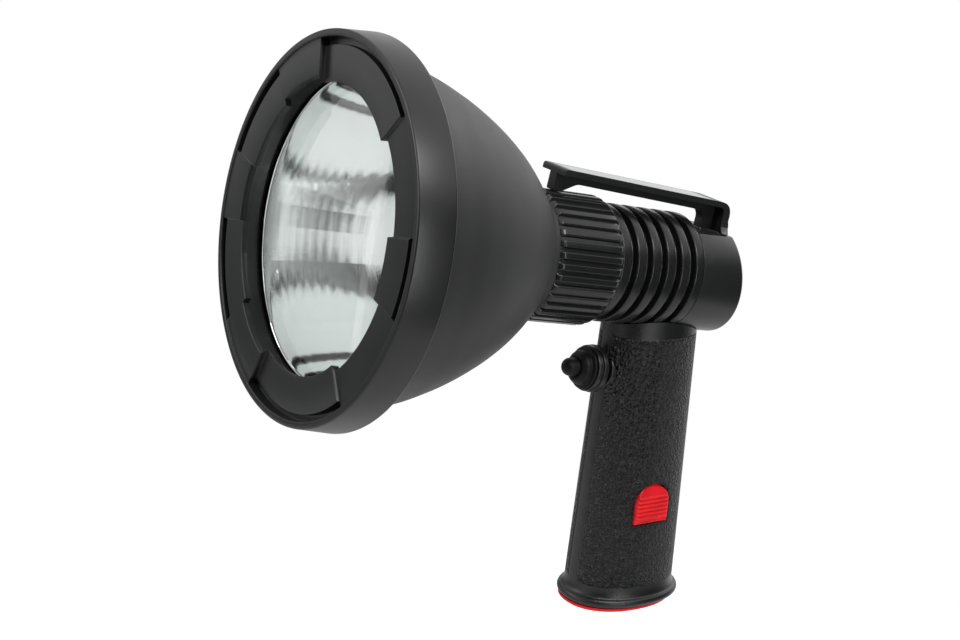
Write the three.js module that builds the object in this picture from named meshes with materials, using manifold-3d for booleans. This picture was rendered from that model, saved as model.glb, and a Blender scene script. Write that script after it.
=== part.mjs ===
// Handheld searchlight with a deep dish head, a finned body and a pistol grip that holds its battery.
// Millimetres, +Z up, the beam leaves towards -Y, and the origin lies in the middle of the grip.

import * as THREE from 'three';
import { mergeVertices } from 'three/addons/utils/BufferGeometryUtils.js';
import Module from 'manifold-3d';

const wasm = await Module();
wasm.setup();

// Clearances and cutting
const gap = 0.3;            // between two separate pieces
const slideGap = 0.4;       // round a piece that slides
const overrun = 1;          // how far a cutter passes the face that it cuts

// Facets
const wideFacets = 36;
const bodyFacets = 28;
const smallFacets = 12;
const wireFacets = 6;
const gripFacets = 32;
const curveSteps = 6;

// Bezel
const bezelRadius = 75;
const bezelFlare = 1.2;     // how much wider the bezel is at its rear edge
const bezelWall = 4.3;      // from the rim down to the thread on the dish
const bezelDepth = 15.6;
const bezelRound = 0.9;
const rimFace = 2.8;
const seatDepth = 0.4;      // filter seat below the rim
const seatWidth = 14.5;
const seatShift = 2.6;      // how far the tabs of the seat stand inwards
const slotDepth = 4.5;      // slot outside each tab
const lipThickness = 3;
const padStep = 0.8;        // drop of the pads beside the side tab
const rampStart = 0.1;
const rampDrop = 2.4;       // fall of the two long ramps
const plateBack = 6.2;
const sleeveEnd = 9.6;
const sleeveThickness = 3.4;
const sleeveFlare = 1.6;

// Angles of the steps of the filter seat, in degrees from +X and the same on both sides
const tabEdge = 12;
const padEdge = 49;
const rampEdge = 108;
const backPadEdge = 135;
const backTabEdge = 168.5;
const lipSetIn = 0.4;

// Lens stack
const gasketThickness = 1.2;
const gasketLip = 0.7;
const lensThickness = 3;
const flangeThickness = 1.4;
const ringSection = 0.8;    // radius of the seal rings' section

// Dish
const dishSkirtWall = 3.2;
const dishWall = 2.6;
const dishLength = 97.8;
const dishRearInset = 0.6;  // below the collar's ridges
const dishLedge = 2.2;
const neckInset = 2.8;      // below the finned body
const neckWall = 4;
const neckLength = 26.6;

// Reflector
const mirrorFlange = 9;
const vertexInset = 3.8;    // from the dish's rear to where the parabola would close
const mirrorHoleRadius = 11;
const mirrorWall = 1.8;

// Focus collar
const collarProud = 2.4;    // of its ridges, above the finned body
const ridgeDepth = 1.3;
const collarRearDrop = 0.3;
const collarLength = 32.6;
const collarRunIn = 1.2;
const collarChamfer = 2.2;
const collarLip = 3;
const ridgeCount = 36;
const ridgeShares = [[0, 0], [0.18, 0], [0.32, 1], [0.84, 1]];

// Finned body
const bodyRadius = 24.8;
const finDepth = 3.5;
const finPitch = 7.8;
const finGroove = 3.5;
const finCount = 5;
const lastLand = 4.1;
const guideReach = 23;      // how far the guide boss stands in front of the fins
const pillarRadius = 10;
const pillarReach = 45;     // how far the lamp pillar stands in front of the fins
const wireBore = 4;
const bodyWall = 5.8;
const shelfWidth = 2.5;
const frontWall = 8;
const shelfDepth = 8;
const keyWidth = 3;
const keyHeight = 2.4;
const keyLength = 9;
const circlipThickness = 1.2;
const circlipWidth = 2.6;
const circlipGroove = 0.8;

// Lamp and driver
const boardThickness = 1.2;
const lampBoardInset = 0.8;
const emitterRadius = 2.6;
const emitterBase = 3.5;
const emitterBaseHeight = 0.8;
const driverThickness = 1.6;
const coilRadius = 5;
const coilHeight = 6;
const coilInset = 2.9;      // from the driver's ring
const chipSize = 5;
const chipHeight = 1.5;
const driverRingLength = 3;
const wireRadius = 0.7;
const wireSpread = 1.8;

// Rear cap
const capLength = 23.6;
const capTaper = 0.8;
const capRound = 2;
const capWall = 3;
const spigotLength = 6;
const spigotRingInset = 1.8;

// Grip
const gripTilt = 0.16;      // radians, the foot of the grip lies further back
const gripForward = 1.4;    // from the rear cap to the grip's axis under the body
const gripSpare = 55.2;     // how much longer the grip is than a cell
const gripTopHalfWidth = 16.2;
const gripTopHalfDepth = 22.3;
const gripFootHalfWidth = 18.8;
const gripFootHalfDepth = 25.7;
const gripExponent = 2.2;
const gripWall = 3;
const gripRoof = 7;
const gripShoulder = 12;    // how far the grip's sides rise beside the body
const footHalfWidth = 20.95;
const footHalfDepth = 28.7;
const footThickness = 3.8;
const footRound = 1.2;
const footFillet = 3.4;

// Grip fasteners
const screwRadius = 1.5;
const screwHeadRadius = 2.8;
const screwHeadHeight = 1.8;
const screwBite = 4;
const gripScrewSpread = 13.2;
const wireHoleRadius = 4;
const wireHoleForward = 7;

// Switch on the front of the grip
const switchBelow = 21.4;   // below the finned body
const switchForward = 28.5; // in front of the grip's axis
const switchHeadRadius = 10.2;
const switchHeadLength = 5;
const switchHeadRound = 0.9;
const switchNeckRadius = 6.4;
const switchNeckLength = 3.2;
const switchBarrelRadius = 5.4;
const switchBarrelLength = 12;
const bossRadius = 7.7;
const bossReach = 10;
const bootFlangeRadius = 9.2;
const bootFlangeThickness = 1;
const bootRadius = 7.3;
const bootLength = 4.2;
const bootShoulder = 1.5;
const tipRadius = 4;
const tipReach = 6.2;
const tipRoot = 3.2;
const plungerRadius = 2;
const switchNutRadius = 8;
const switchNutThickness = 2.4;
const switchNutSetIn = 1.2; // from the rear end of the barrel
const microSwitchWidth = 10;
const microSwitchHeight = 12;
const microSwitchLength = 9;
const switchTravel = 2;

// Battery release latches
const latchFoot = 85.3;     // lower edge, down the grip
const latchHeight = 17.8;
const latchWidth = 17.6;
const latchSlack = 0.5;
const latchTravel = 1.8;
const latchProud = 0.6;
const latchPlate = 1.2;
const latchRim = 1.4;
const latchSlope = 2.2;
const leafWidth = 7;
const leafThickness = 0.5;
const leafLength = 17;
const leafGap = 1.2;        // between the leaf's tip and the latch
const ribCount = 6;
const ribPitch = 1.9;
const ribDepth = 0.7;
const ribFoot = 1.6;

// Battery pack
const contactDeck = 31;     // top of the contact block, down the grip
const contactBlockThickness = 4;
const packTop = 37.6;
const packSideGap = 0.5;
const lidThickness = 1.7;
const caseWall = 0.9;
const cellRadius = 8;
const cellLength = 65;
const cellTipRadius = 2.8;
const cellTipHeight = 0.9;
const cellFloor = 1.6;
const contactRadius = 3.4;
const contactHeight = 0.8;
const contactPinRadius = 2.4;
const packBoardThickness = 1.6;
const baseThickness = 2;
const baseInset = 0.5;
const baseBossRadius = 7.6;
const baseBossHeight = 1.8;
const baseBossBack = 9.4;
const socketRadius = 5;
const socketBore = 2.7;
const socketPin = 1;
const socketDepth = 8;
const lampRadius = 2.4;
const lampForward = 12;
const lampHeight = 0.8;
const baseScrewSpread = 18;

// Top clip
const clipSetBack = 6.2;    // from the collar's front to the clip's lip
const clipHalfWidth = 8.2;
const clipWebHalfWidth = 5.2;
const clipRise = 10.2;      // top of the lip above the collar's ridges
const clipSlopeShare = 0.0475;
const clipThickness = 5.8;
const clipPlate = 2.4;      // the wide top above the narrow web
const clipLip = 2.8;        // round across
const clipLipReach = 2.6;
const clipFootLean = 1.5;
const clipFootWidth = 1.6;
const clipFootSlope = 7;
const clipFootGap = 0.6;    // free air between the clip's foot and the collar
const clipRearInset = 3.3;  // in front of the cap's end
const clipFlange = 3.7;
const clipSpreadHalfWidth = 13.2;
const clipSpreadAbove = 4.2;  // where the neck starts to spread, above the body's radius
const clipSpreadBelow = 3.8;
const clipCorner = 6;
const clipNeck = 16.6;
const clipInnerCorner = 6;
const clipScrewForward = 8;

// Places along the optical axis
const collarFront = dishLength + slideGap;
const collarRear = collarFront + collarLength;
const bodyFront = collarRear + gap;
const bodyRear = bodyFront + finCount * finPitch + lastLand;
const capFront = bodyRear + gap;
const gripSetBack = capFront - gripForward;
const switchHeadFront = gripSetBack - switchForward;
const mirrorVertex = dishLength - vertexInset;
const clipFront = collarFront + clipSetBack;
const clipRear = capFront + capLength - clipRearInset;
const guideFront = bodyFront - guideReach;
const pillarFront = bodyFront - pillarReach;
const chamberFront = bodyFront + frontWall;
const shelf = chamberFront + shelfDepth;
const gasketFront = sleeveEnd + gap;
const lensFront = gasketFront + gasketThickness + gap;
const flangeFront = lensFront + lensThickness + gap;
const ledge = flangeFront + flangeThickness + gap;
const dishFront = plateBack + gap + 2 * ringSection + gap;

// Radii that follow others
const bezelRearRadius = bezelRadius + bezelFlare;
const rimInner = bezelRadius - rimFace;
const slotInner = rimInner - seatShift;
const seatInnerRadius = rimInner - seatWidth;
const threadRadius = bezelRadius - bezelWall;
const dishSkirtRadius = threadRadius - gap;
const skirtInner = dishSkirtRadius - dishSkirtWall;
const stackRadius = skirtInner - gap;
const mirrorRadius = stackRadius - mirrorFlange;
const sleeveInner = seatInnerRadius + sleeveFlare;
const collarRadius = bodyRadius + collarProud;
const collarGrooveRadius = collarRadius - ridgeDepth;
const collarRearRadius = collarGrooveRadius - collarRearDrop;
const dishRearRadius = collarRadius - dishRearInset;
const neckRadius = bodyRadius - neckInset;
const chamberRadius = bodyRadius - bodyWall;
const lampBoardRadius = pillarRadius - lampBoardInset;
const neckBore = neckRadius - neckWall;
const guideRadius = neckBore - gap;
const spigotRadius = chamberRadius - gap;
const capBore = spigotRadius - capWall - ringSection;
const switchDrop = bodyRadius + switchBelow;
const clipTop = collarRadius + clipRise;
const clipHeadTop = Math.sqrt(capBore ** 2 - screwHeadRadius ** 2) - 2 * gap;

const capEndRadius = bodyRadius - capTaper;
const gripLength = cellLength + gripSpare;

// The grip's frame: local -Z runs down the grip, local Y runs back, square to it
const gripPlace = new THREE.Matrix4()
  .makeTranslation(0, gripSetBack, -bodyRadius)
  .multiply(new THREE.Matrix4().makeRotationX(gripTilt));
const toGrip = gripPlace.clone().invert();
const gripCentre = new THREE.Vector3(0, 0, -gripLength / 2).applyMatrix4(gripPlace);

// Solids

function solid(geometry) {
  const bare = geometry.clone();
  for (const name of Object.keys(bare.attributes)) {
    if (name !== 'position') bare.deleteAttribute(name);
  }
  const merged = mergeVertices(bare);
  const points = merged.attributes.position.array;
  const corners = merged.index.array;
  const kept = [];
  for (let i = 0; i < corners.length; i += 3) {
    const [a, b, c] = [corners[i], corners[i + 1], corners[i + 2]];
    if (a !== b && b !== c && c !== a) kept.push(a, b, c);
  }
  if (volume(points, kept) < 0) kept.reverse();
  return new wasm.Manifold(new wasm.Mesh({
    numProp: 3,
    vertProperties: new Float32Array(points),
    triVerts: new Uint32Array(kept),
  }));
}

function volume(points, corners) {
  const at = (i) => new THREE.Vector3().fromArray(points, 3 * i);
  let sum = 0;
  for (let i = 0; i < corners.length; i += 3) {
    sum += at(corners[i]).dot(at(corners[i + 1]).cross(at(corners[i + 2])));
  }
  return sum;
}

function join(...solids) {
  return solids.reduce((whole, piece) => whole.add(piece));
}

function cut(whole, ...cutters) {
  return cutters.reduce((rest, cutter) => rest.subtract(cutter), whole);
}

// A profile of [radius, place along Y] turned round the Y axis
function revolve(profile, facets = bodyFacets) {
  const points = [...profile, profile[0]].map(([radius, along]) => new THREE.Vector2(radius, along));
  return new THREE.LatheGeometry(points, facets);
}

function tube(inner, outer, from, to, facets = bodyFacets) {
  return revolve([[inner, from], [outer, from], [outer, to], [inner, to]], facets);
}

function disc(radius, from, to, facets = bodyFacets) {
  return tube(0, radius, from, to, facets);
}

// A seal ring with a round section, in the middle of its groove
function sealRing(radius, place, facets = bodyFacets) {
  const section = [];
  for (let step = 0; step < wireFacets; step += 1) {
    const turn = (2 * Math.PI * step) / wireFacets;
    section.push([radius + ringSection * Math.cos(turn), place + ringSection * Math.sin(turn)]);
  }
  return revolve(section, facets);
}

// Closed loops of equal count joined by walls, with both ends fanned shut
function loft(loops) {
  const count = loops[0].length;
  const points = loops.flat();
  const corners = [];
  for (let loop = 0; loop + 1 < loops.length; loop += 1) {
    for (let step = 0; step < count; step += 1) {
      const a = loop * count + step;
      const b = loop * count + (step + 1) % count;
      corners.push(a, b, b + count, a, b + count, a + count);
    }
  }
  const last = (loops.length - 1) * count;
  points.push(middle(loops[0]), middle(loops[loops.length - 1]));
  for (let step = 0; step < count; step += 1) {
    const next = (step + 1) % count;
    corners.push(points.length - 2, next, step, points.length - 1, last + step, last + next);
  }
  const geometry = new THREE.BufferGeometry().setFromPoints(points);
  geometry.setIndex(corners);
  return geometry;
}

function middle(loop) {
  return loop.reduce((sum, point) => sum.add(point), new THREE.Vector3()).divideScalar(loop.length);
}

// An oval loop between an ellipse and a box, at one height of the grip
function ovalLoop(halfWidth, halfDepth, height, facets = gripFacets) {
  const loop = [];
  const power = 2 / gripExponent;
  for (let step = 0; step < facets; step += 1) {
    const turn = (2 * Math.PI * step) / facets;
    const [c, s] = [Math.cos(turn), Math.sin(turn)];
    const x = Math.sign(c) * halfWidth * Math.abs(c) ** power;
    const y = Math.sign(s) * halfDepth * Math.abs(s) ** power;
    loop.push(new THREE.Vector3(x, y, height));
  }
  return loop;
}

// A shape drawn in Y and Z, pushed along X about x = 0
function slab(shape, width, segments = curveSteps) {
  const geometry = new THREE.ExtrudeGeometry(shape, {
    depth: width, bevelEnabled: false, curveSegments: segments,
  });
  geometry.translate(0, 0, -width / 2);
  const axes = new THREE.Matrix4().makeBasis(
    new THREE.Vector3(0, 1, 0), new THREE.Vector3(0, 0, 1), new THREE.Vector3(1, 0, 0));
  return geometry.applyMatrix4(axes);
}

function block(width, depth, height, x, y, z) {
  return new THREE.BoxGeometry(width, depth, height).translate(x, y, z);
}

// A round bar along Z from one height to another
function post(radius, x, y, from, to, facets = smallFacets) {
  return disc(radius, from, to, facets).rotateX(Math.PI / 2).translate(x, y, 0);
}

// A wire through points, with a round section
function wire(points) {
  const path = new THREE.CatmullRomCurve3(points.map((point) => new THREE.Vector3(...point)), false,
    'centripetal');
  const section = new THREE.Shape();
  for (let step = 0; step < wireFacets; step += 1) {
    const turn = (2 * Math.PI * step) / wireFacets;
    const [x, y] = [wireRadius * Math.cos(turn), wireRadius * Math.sin(turn)];
    if (step === 0) section.moveTo(x, y);
    else section.lineTo(x, y);
  }
  return new THREE.ExtrudeGeometry(section, { extrudePath: path, steps: curveSteps });
}

// Screw with a round head below its shank, standing on Z
function screw(x, y, headFrom, tipAt) {
  const shoulder = headFrom + screwHeadHeight;
  return join(
    solid(post(screwHeadRadius, x, y, headFrom, shoulder)),
    solid(post(screwRadius, x, y, shoulder - gap, tipAt)),
  );
}

// Bezel with its stepped filter seat

// A stretch of the seat between two angles, from the front down to a depth that may fall along it
function seatCutter(from, to, inner, outer, depthFrom, depthTo) {
  const steps = Math.max(2, Math.ceil((to - from) / (360 / wideFacets)));
  const loops = [];
  for (let step = 0; step <= steps; step += 1) {
    const share = step / steps;
    const turn = THREE.MathUtils.degToRad(from + (to - from) * share);
    const depth = depthFrom + (depthTo - depthFrom) * share;
    const corner = (radius, along) => new THREE.Vector3(
      radius * Math.cos(turn), along, radius * Math.sin(turn));
    loops.push([corner(inner, -overrun), corner(outer, -overrun), corner(outer, depth),
      corner(inner, depth)]);
  }
  return solid(loft(loops));
}

// A ring of the seat kept between two angles, with the ring's own facets
function seatSector(from, to, inner, outer, depthFrom, depthTo, front = -overrun) {
  const deep = Math.max(depthFrom, depthTo) + overrun;
  return solid(tube(inner, outer, front, deep, wideFacets))
    .intersect(seatCutter(from, to, inner - overrun, outer + overrun, depthFrom, depthTo));
}

const tabs = [[-tabEdge, tabEdge], [padEdge, rampEdge], [-rampEdge, -padEdge],
  [backPadEdge, backTabEdge], [-backTabEdge, -backPadEdge]];

function bezel() {
  const ring = solid(revolve([
    [seatInnerRadius, seatDepth],
    [rimInner, seatDepth],
    [rimInner, 0],
    [bezelRadius - bezelRound, 0],
    [bezelRadius, bezelRound],
    [bezelRearRadius, bezelDepth - bezelRound],
    [bezelRearRadius - bezelRound, bezelDepth],
    [threadRadius, bezelDepth],
    [threadRadius, plateBack],
    [sleeveInner + sleeveThickness, plateBack],
    [sleeveInner + sleeveThickness, sleeveEnd],
    [sleeveInner, sleeveEnd],
  ], wideFacets));
  const tabInner = seatInnerRadius - seatShift;
  const lips = tabs.map(([from, to]) => seatSector(from + lipSetIn, to - lipSetIn, tabInner, sleeveInner,
    seatDepth + lipThickness, seatDepth + lipThickness, seatDepth));
  const slots = tabs.map(([from, to]) => seatSector(from, to, slotInner, rimInner,
    slotDepth, slotDepth));
  const drops = [
    [tabEdge, padEdge, padStep, padStep],
    [-padEdge, -tabEdge, padStep, padStep],
    [padEdge, rampEdge, rampStart, rampDrop],
    [-rampEdge, -padEdge, rampDrop, rampStart],
  ].map(([from, to, start, end]) => seatSector(from, to, tabInner - overrun, rimInner,
    seatDepth + start, seatDepth + end));
  return cut(join(ring, ...lips), ...slots, ...drops);
}

// Dish

// The dish's outer side from the bezel back to the neck, as radii at places along the axis
const dishShares = [
  [0, 1], [0.17, 0.945], [0.36, 0.868], [0.54, 0.763], [0.715, 0.628],
  [0.84, 0.507], [0.935, 0.399], [1, 0],
];

function dishSide() {
  const start = dishSkirtRadius - gap;
  const length = dishLength - bezelDepth;
  const curve = new THREE.SplineCurve(dishShares.map(([along, out]) => new THREE.Vector2(
    Math.max(start * out, dishRearRadius), bezelDepth + length * along)));
  return curve.getPoints(curveSteps + 2);
}

function dish() {
  const side = dishSide();
  const outer = side.map((point) => [point.x, point.y]);
  const inner = [];
  for (let step = side.length - 2; step > 0; step -= 1) {
    const along = new THREE.Vector2().subVectors(side[step + 1], side[step - 1]).normalize();
    const place = side[step].clone().add(new THREE.Vector2(-along.y, along.x).multiplyScalar(dishWall));
    if (place.x > neckBore && place.x < skirtInner - dishLedge && place.y > ledge) {
      inner.push([place.x, place.y]);
    }
  }
  const neckEnd = dishLength + neckLength;
  const ringPlace = collarFront + 2 * ringSection + gap;
  const shell = solid(revolve([
    [skirtInner, dishFront],
    [dishSkirtRadius, dishFront],
    [dishSkirtRadius, bezelDepth],
    ...outer,
    [neckRadius, dishLength],
    [neckRadius, ringPlace - ringSection - gap],
    [neckRadius - 2 * ringSection, ringPlace - ringSection - gap],
    [neckRadius - 2 * ringSection, ringPlace + ringSection + gap],
    [neckRadius, ringPlace + ringSection + gap],
    [neckRadius, neckEnd],
    [neckBore, neckEnd],
    [neckBore, inner[0][1]],
    ...inner,
    [skirtInner - dishLedge, ledge],
    [skirtInner, ledge],
  ], wideFacets));
  const keyway = block(keyWidth + 2 * gap, neckLength + dishLength, keyHeight + gap, 0,
    neckEnd - (neckLength + dishLength) / 2 + overrun, neckBore);
  return cut(shell, solid(keyway));
}

// Reflector: a parabola turned round the axis, with a flat flange at its mouth
function reflector() {
  const focal = mirrorRadius ** 2 / (4 * (mirrorVertex - flangeFront));
  const flangeBack = flangeFront + flangeThickness;
  const face = [];
  for (let step = 0; step <= curveSteps; step += 1) {
    const radius = mirrorRadius + (mirrorHoleRadius - mirrorRadius) * (step / curveSteps);
    face.push([radius, mirrorVertex - radius ** 2 / (4 * focal)]);
  }
  const back = face.slice(1).reverse().map(([radius, along]) => [radius + mirrorWall, along]);
  return solid(revolve([
    ...face,
    ...back,
    [Math.sqrt(4 * focal * (mirrorVertex - flangeBack)) + mirrorWall, flangeBack],
    [stackRadius, flangeBack],
    [stackRadius, flangeFront],
  ], bodyFacets));
}

// Focus collar: a ring of ridges that ends in a plain chamfer
function focusCollar() {
  const ring = (along, reach, plain) => {
    const loop = [];
    for (let ridge = 0; ridge < ridgeCount; ridge += 1) {
      for (const [share, rise] of ridgeShares) {
        const turn = (2 * Math.PI * (ridge + share)) / ridgeCount;
        const radius = plain + rise * reach;
        loop.push(new THREE.Vector3(radius * Math.cos(turn), along, radius * Math.sin(turn)));
      }
    }
    return loop;
  };
  const reach = collarRadius - collarGrooveRadius;
  const body = solid(loft([
    ring(collarFront, 0, collarGrooveRadius),
    ring(collarFront + collarRunIn, reach, collarGrooveRadius),
    ring(collarRear - collarChamfer, reach, collarGrooveRadius),
    ring(collarRear, 0, collarRearRadius),
  ]));
  return cut(body,
    solid(disc(neckRadius + gap, collarFront - overrun, collarRear - collarLip)),
    solid(disc(guideRadius + gap, collarFront, collarRear + overrun)));
}

// Finned body with the guide boss and the lamp pillar in one turning
const circlipFront = collarRear - collarLip - gap - circlipThickness;

function heatSink() {
  const fins = [];
  for (let fin = 0; fin < finCount; fin += 1) {
    const from = bodyFront + (fin + 1) * finPitch - finGroove;
    fins.push([bodyRadius, from], [bodyRadius - finDepth, from],
      [bodyRadius - finDepth, from + finGroove], [bodyRadius, from + finGroove]);
  }
  const turning = solid(revolve([
    [wireBore, pillarFront],
    [pillarRadius, pillarFront],
    [pillarRadius, guideFront],
    [guideRadius, guideFront],
    [guideRadius, circlipFront - gap],
    [guideRadius - circlipGroove, circlipFront - gap],
    [guideRadius - circlipGroove, circlipFront + circlipThickness + gap],
    [guideRadius, circlipFront + circlipThickness + gap],
    [guideRadius, bodyFront],
    [bodyRadius, bodyFront],
    ...fins,
    [bodyRadius, bodyRear],
    [chamberRadius, bodyRear],
    [chamberRadius, shelf],
    [chamberRadius - shelfWidth, shelf],
    [chamberRadius - shelfWidth, chamberFront],
    [wireBore, chamberFront],
  ]));
  const keySeat = block(keyWidth + 2 * gap, keyLength + 2 * gap, keyHeight, 0,
    guideFront + gap + keyLength / 2 + overrun, guideRadius);
  return cut(turning, solid(keySeat),
    solid(post(wireHoleRadius, 0, wireHolePlace, -bodyRadius - overrun, 0)),
    solid(post(screwRadius + gap, 0, frontScrewPlace, -bodyRadius - overrun, screwTip + gap)));
}

// Feather key that lets the head slide but not turn
function guideKey() {
  const foot = guideRadius - keyHeight / 2 + gap;
  const top = neckBore + keyHeight / 2 - gap;
  return solid(block(keyWidth, keyLength, top - foot, 0,
    guideFront + gap + keyLength / 2 + overrun, (foot + top) / 2));
}

// Places under the body, measured in the grip's slanted frame and then along the optical axis
const wireHolePlace = gripSetBack - wireHoleForward;
const frontScrewPlace = gripSetBack - gripScrewSpread;
const rearScrewPlace = gripSetBack + gripScrewSpread;
const screwTip = -bodyRadius + screwBite;

// Rear cap: a cup whose end leans with the grip, with a spigot that fits the body
function rearCap() {
  const lean = Math.tan(gripTilt);
  const ring = (along, radius, share) => {
    const loop = [];
    for (let step = 0; step < bodyFacets; step += 1) {
      const turn = (2 * Math.PI * step) / bodyFacets;
      const up = radius * Math.sin(turn);
      loop.push(new THREE.Vector3(radius * Math.cos(turn), along - lean * share * up, up));
    }
    return loop;
  };
  const end = capFront + capLength;
  const corner = capRound * (1 - Math.SQRT1_2);
  const cup = solid(loft([
    ring(capFront, bodyRadius, 0),
    ring(end - capRound, capEndRadius, 1),
    ring(end - corner, capEndRadius - corner, 1),
    ring(end, capEndRadius - capRound, 1),
  ]));
  const ringPlace = capFront - spigotLength + spigotRingInset + ringSection;
  const spigot = solid(revolve([
    [capBore, capFront - spigotLength],
    [spigotRadius, capFront - spigotLength],
    [spigotRadius, ringPlace - ringSection - gap],
    [spigotRadius - 2 * ringSection, ringPlace - ringSection - gap],
    [spigotRadius - 2 * ringSection, ringPlace + ringSection + gap],
    [spigotRadius, ringPlace + ringSection + gap],
    [spigotRadius, capFront + overrun],
    [capBore, capFront + overrun],
  ]));
  const hollow = disc(capBore, capFront - spigotLength - overrun,
    end - capWall - lean * capEndRadius);
  const clipHole = post(screwRadius + gap, 0, clipScrewPlace, 0, bodyRadius + overrun);
  const gripHole = post(screwRadius + gap, 0, rearScrewPlace, -bodyRadius - overrun, screwTip + gap);
  return cut(join(cup, spigot), solid(hollow), solid(clipHole), solid(gripHole));
}

// Top clip: one bent strap with a foot over the collar and a neck on the rear cap
const clipScrewPlace = clipRear - clipScrewForward;

function clipUpright(halfWidth, from, to) {
  const outline = new THREE.Shape();
  outline.moveTo(clipSpreadHalfWidth, 0);
  outline.lineTo(clipSpreadHalfWidth, bodyRadius - clipSpreadBelow);
  outline.lineTo(halfWidth, bodyRadius + clipSpreadAbove);
  outline.lineTo(halfWidth, clipTop);
  outline.lineTo(-halfWidth, clipTop);
  outline.lineTo(-halfWidth, bodyRadius + clipSpreadAbove);
  outline.lineTo(-clipSpreadHalfWidth, bodyRadius - clipSpreadBelow);
  outline.lineTo(-clipSpreadHalfWidth, 0);
  return solid(new THREE.ExtrudeGeometry(outline, { depth: to - from, bevelEnabled: false })
    .rotateX(Math.PI / 2).translate(0, to, 0));
}

function topClip() {
  const fall = (along) => clipTop - clipSlopeShare * (along - clipFront);
  const lip = clipLip / 2;
  const footFront = clipFront + clipLipReach;
  const footBottom = collarRadius + clipFootGap;
  const footBack = footFront - clipFootLean + clipFootWidth;
  const under = (along) => fall(along) - clipThickness;
  const neckFront = clipRear - clipNeck;
  const neckInner = neckFront - clipInnerCorner;
  const strap = new THREE.Shape();
  strap.moveTo(clipFront + lip, clipTop);
  strap.absarc(clipFront + lip, clipTop - lip, lip, Math.PI / 2, 3 * Math.PI / 2, false);
  strap.lineTo(footFront, fall(footFront) - clipPlate);
  strap.lineTo(footFront - clipFootLean, footBottom);
  strap.lineTo(footBack, footBottom);
  strap.lineTo(footBack + clipFootSlope, under(footBack + clipFootSlope));
  strap.lineTo(neckInner, under(neckInner));
  strap.quadraticCurveTo(neckFront, under(neckFront), neckFront, under(neckFront) - clipInnerCorner);
  strap.lineTo(neckFront, 0);
  strap.lineTo(clipRear, 0);
  strap.lineTo(clipRear, fall(clipRear) - clipCorner);
  strap.quadraticCurveTo(clipRear, fall(clipRear), clipRear - clipCorner, fall(clipRear - clipCorner));
  const plate = new THREE.Shape();
  plate.moveTo(clipFront - overrun, clipTop + overrun);
  plate.lineTo(clipFront - overrun, clipTop - clipLip - overrun);
  plate.lineTo(footFront, fall(footFront) - clipPlate);
  plate.lineTo(clipRear, fall(clipRear) - clipPlate);
  plate.lineTo(clipRear, clipTop + overrun);
  const middle = clipRear - clipFlange;
  const ways = join(
    solid(slab(plate, 2 * clipHalfWidth)),
    solid(block(2 * clipWebHalfWidth, clipRear - clipFront, 2 * clipTop, 0,
      (clipFront + clipRear) / 2, 0)),
    clipUpright(clipWebHalfWidth, neckFront, middle + overrun),
    clipUpright(clipHalfWidth, middle, clipRear));
  const seat = disc(bodyRadius + gap, capFront - capLength, capFront + 2 * capLength, wideFacets);
  return cut(solid(slab(strap, 2 * clipSpreadHalfWidth)).intersect(ways),
    solid(seat),
    solid(post(screwRadius + gap, 0, clipScrewPlace, 0, clipScrewTip + gap)));
}

const clipScrewTip = bodyRadius + screwBite;

// Grip

function gripHalfWidth(down) {
  return gripTopHalfWidth + (gripFootHalfWidth - gripTopHalfWidth) * (down / gripLength);
}

function gripHalfDepth(down) {
  return gripTopHalfDepth + (gripFootHalfDepth - gripTopHalfDepth) * (down / gripLength);
}

// A tapering oval inside or outside the grip's own, between two depths below the body
function gripTaper(from, to, inset) {
  const loop = (down) => ovalLoop(gripHalfWidth(down) - inset, gripHalfDepth(down) - inset, -down);
  return loft([loop(from), loop(to)]);
}

function latchShape(slack) {
  const half = latchWidth / 2 + slack;
  const foot = -latchFoot - slack;
  const spring = foot + latchHeight + 2 * slack - half;
  const shape = new THREE.Shape();
  shape.moveTo(-half, foot);
  shape.lineTo(half, foot);
  shape.lineTo(half, spring);
  shape.absarc(0, spring, half, 0, Math.PI, false);
  return shape;
}

// Half-width of the grip's inner wall at a distance from its axis, and the rim plate just inside it
function innerHalfWidth(down, across) {
  const share = across / (gripHalfDepth(down) - gripWall);
  return (gripHalfWidth(down) - gripWall) * (1 - share ** gripExponent) ** (1 / gripExponent);
}

const latchBack = innerHalfWidth(latchFoot - latchHeight, latchWidth / 2 + latchRim)
  - 2 * gap - latchPlate;

function bodyInGrip(geometry) {
  return solid(geometry.applyMatrix4(toGrip));
}

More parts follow.
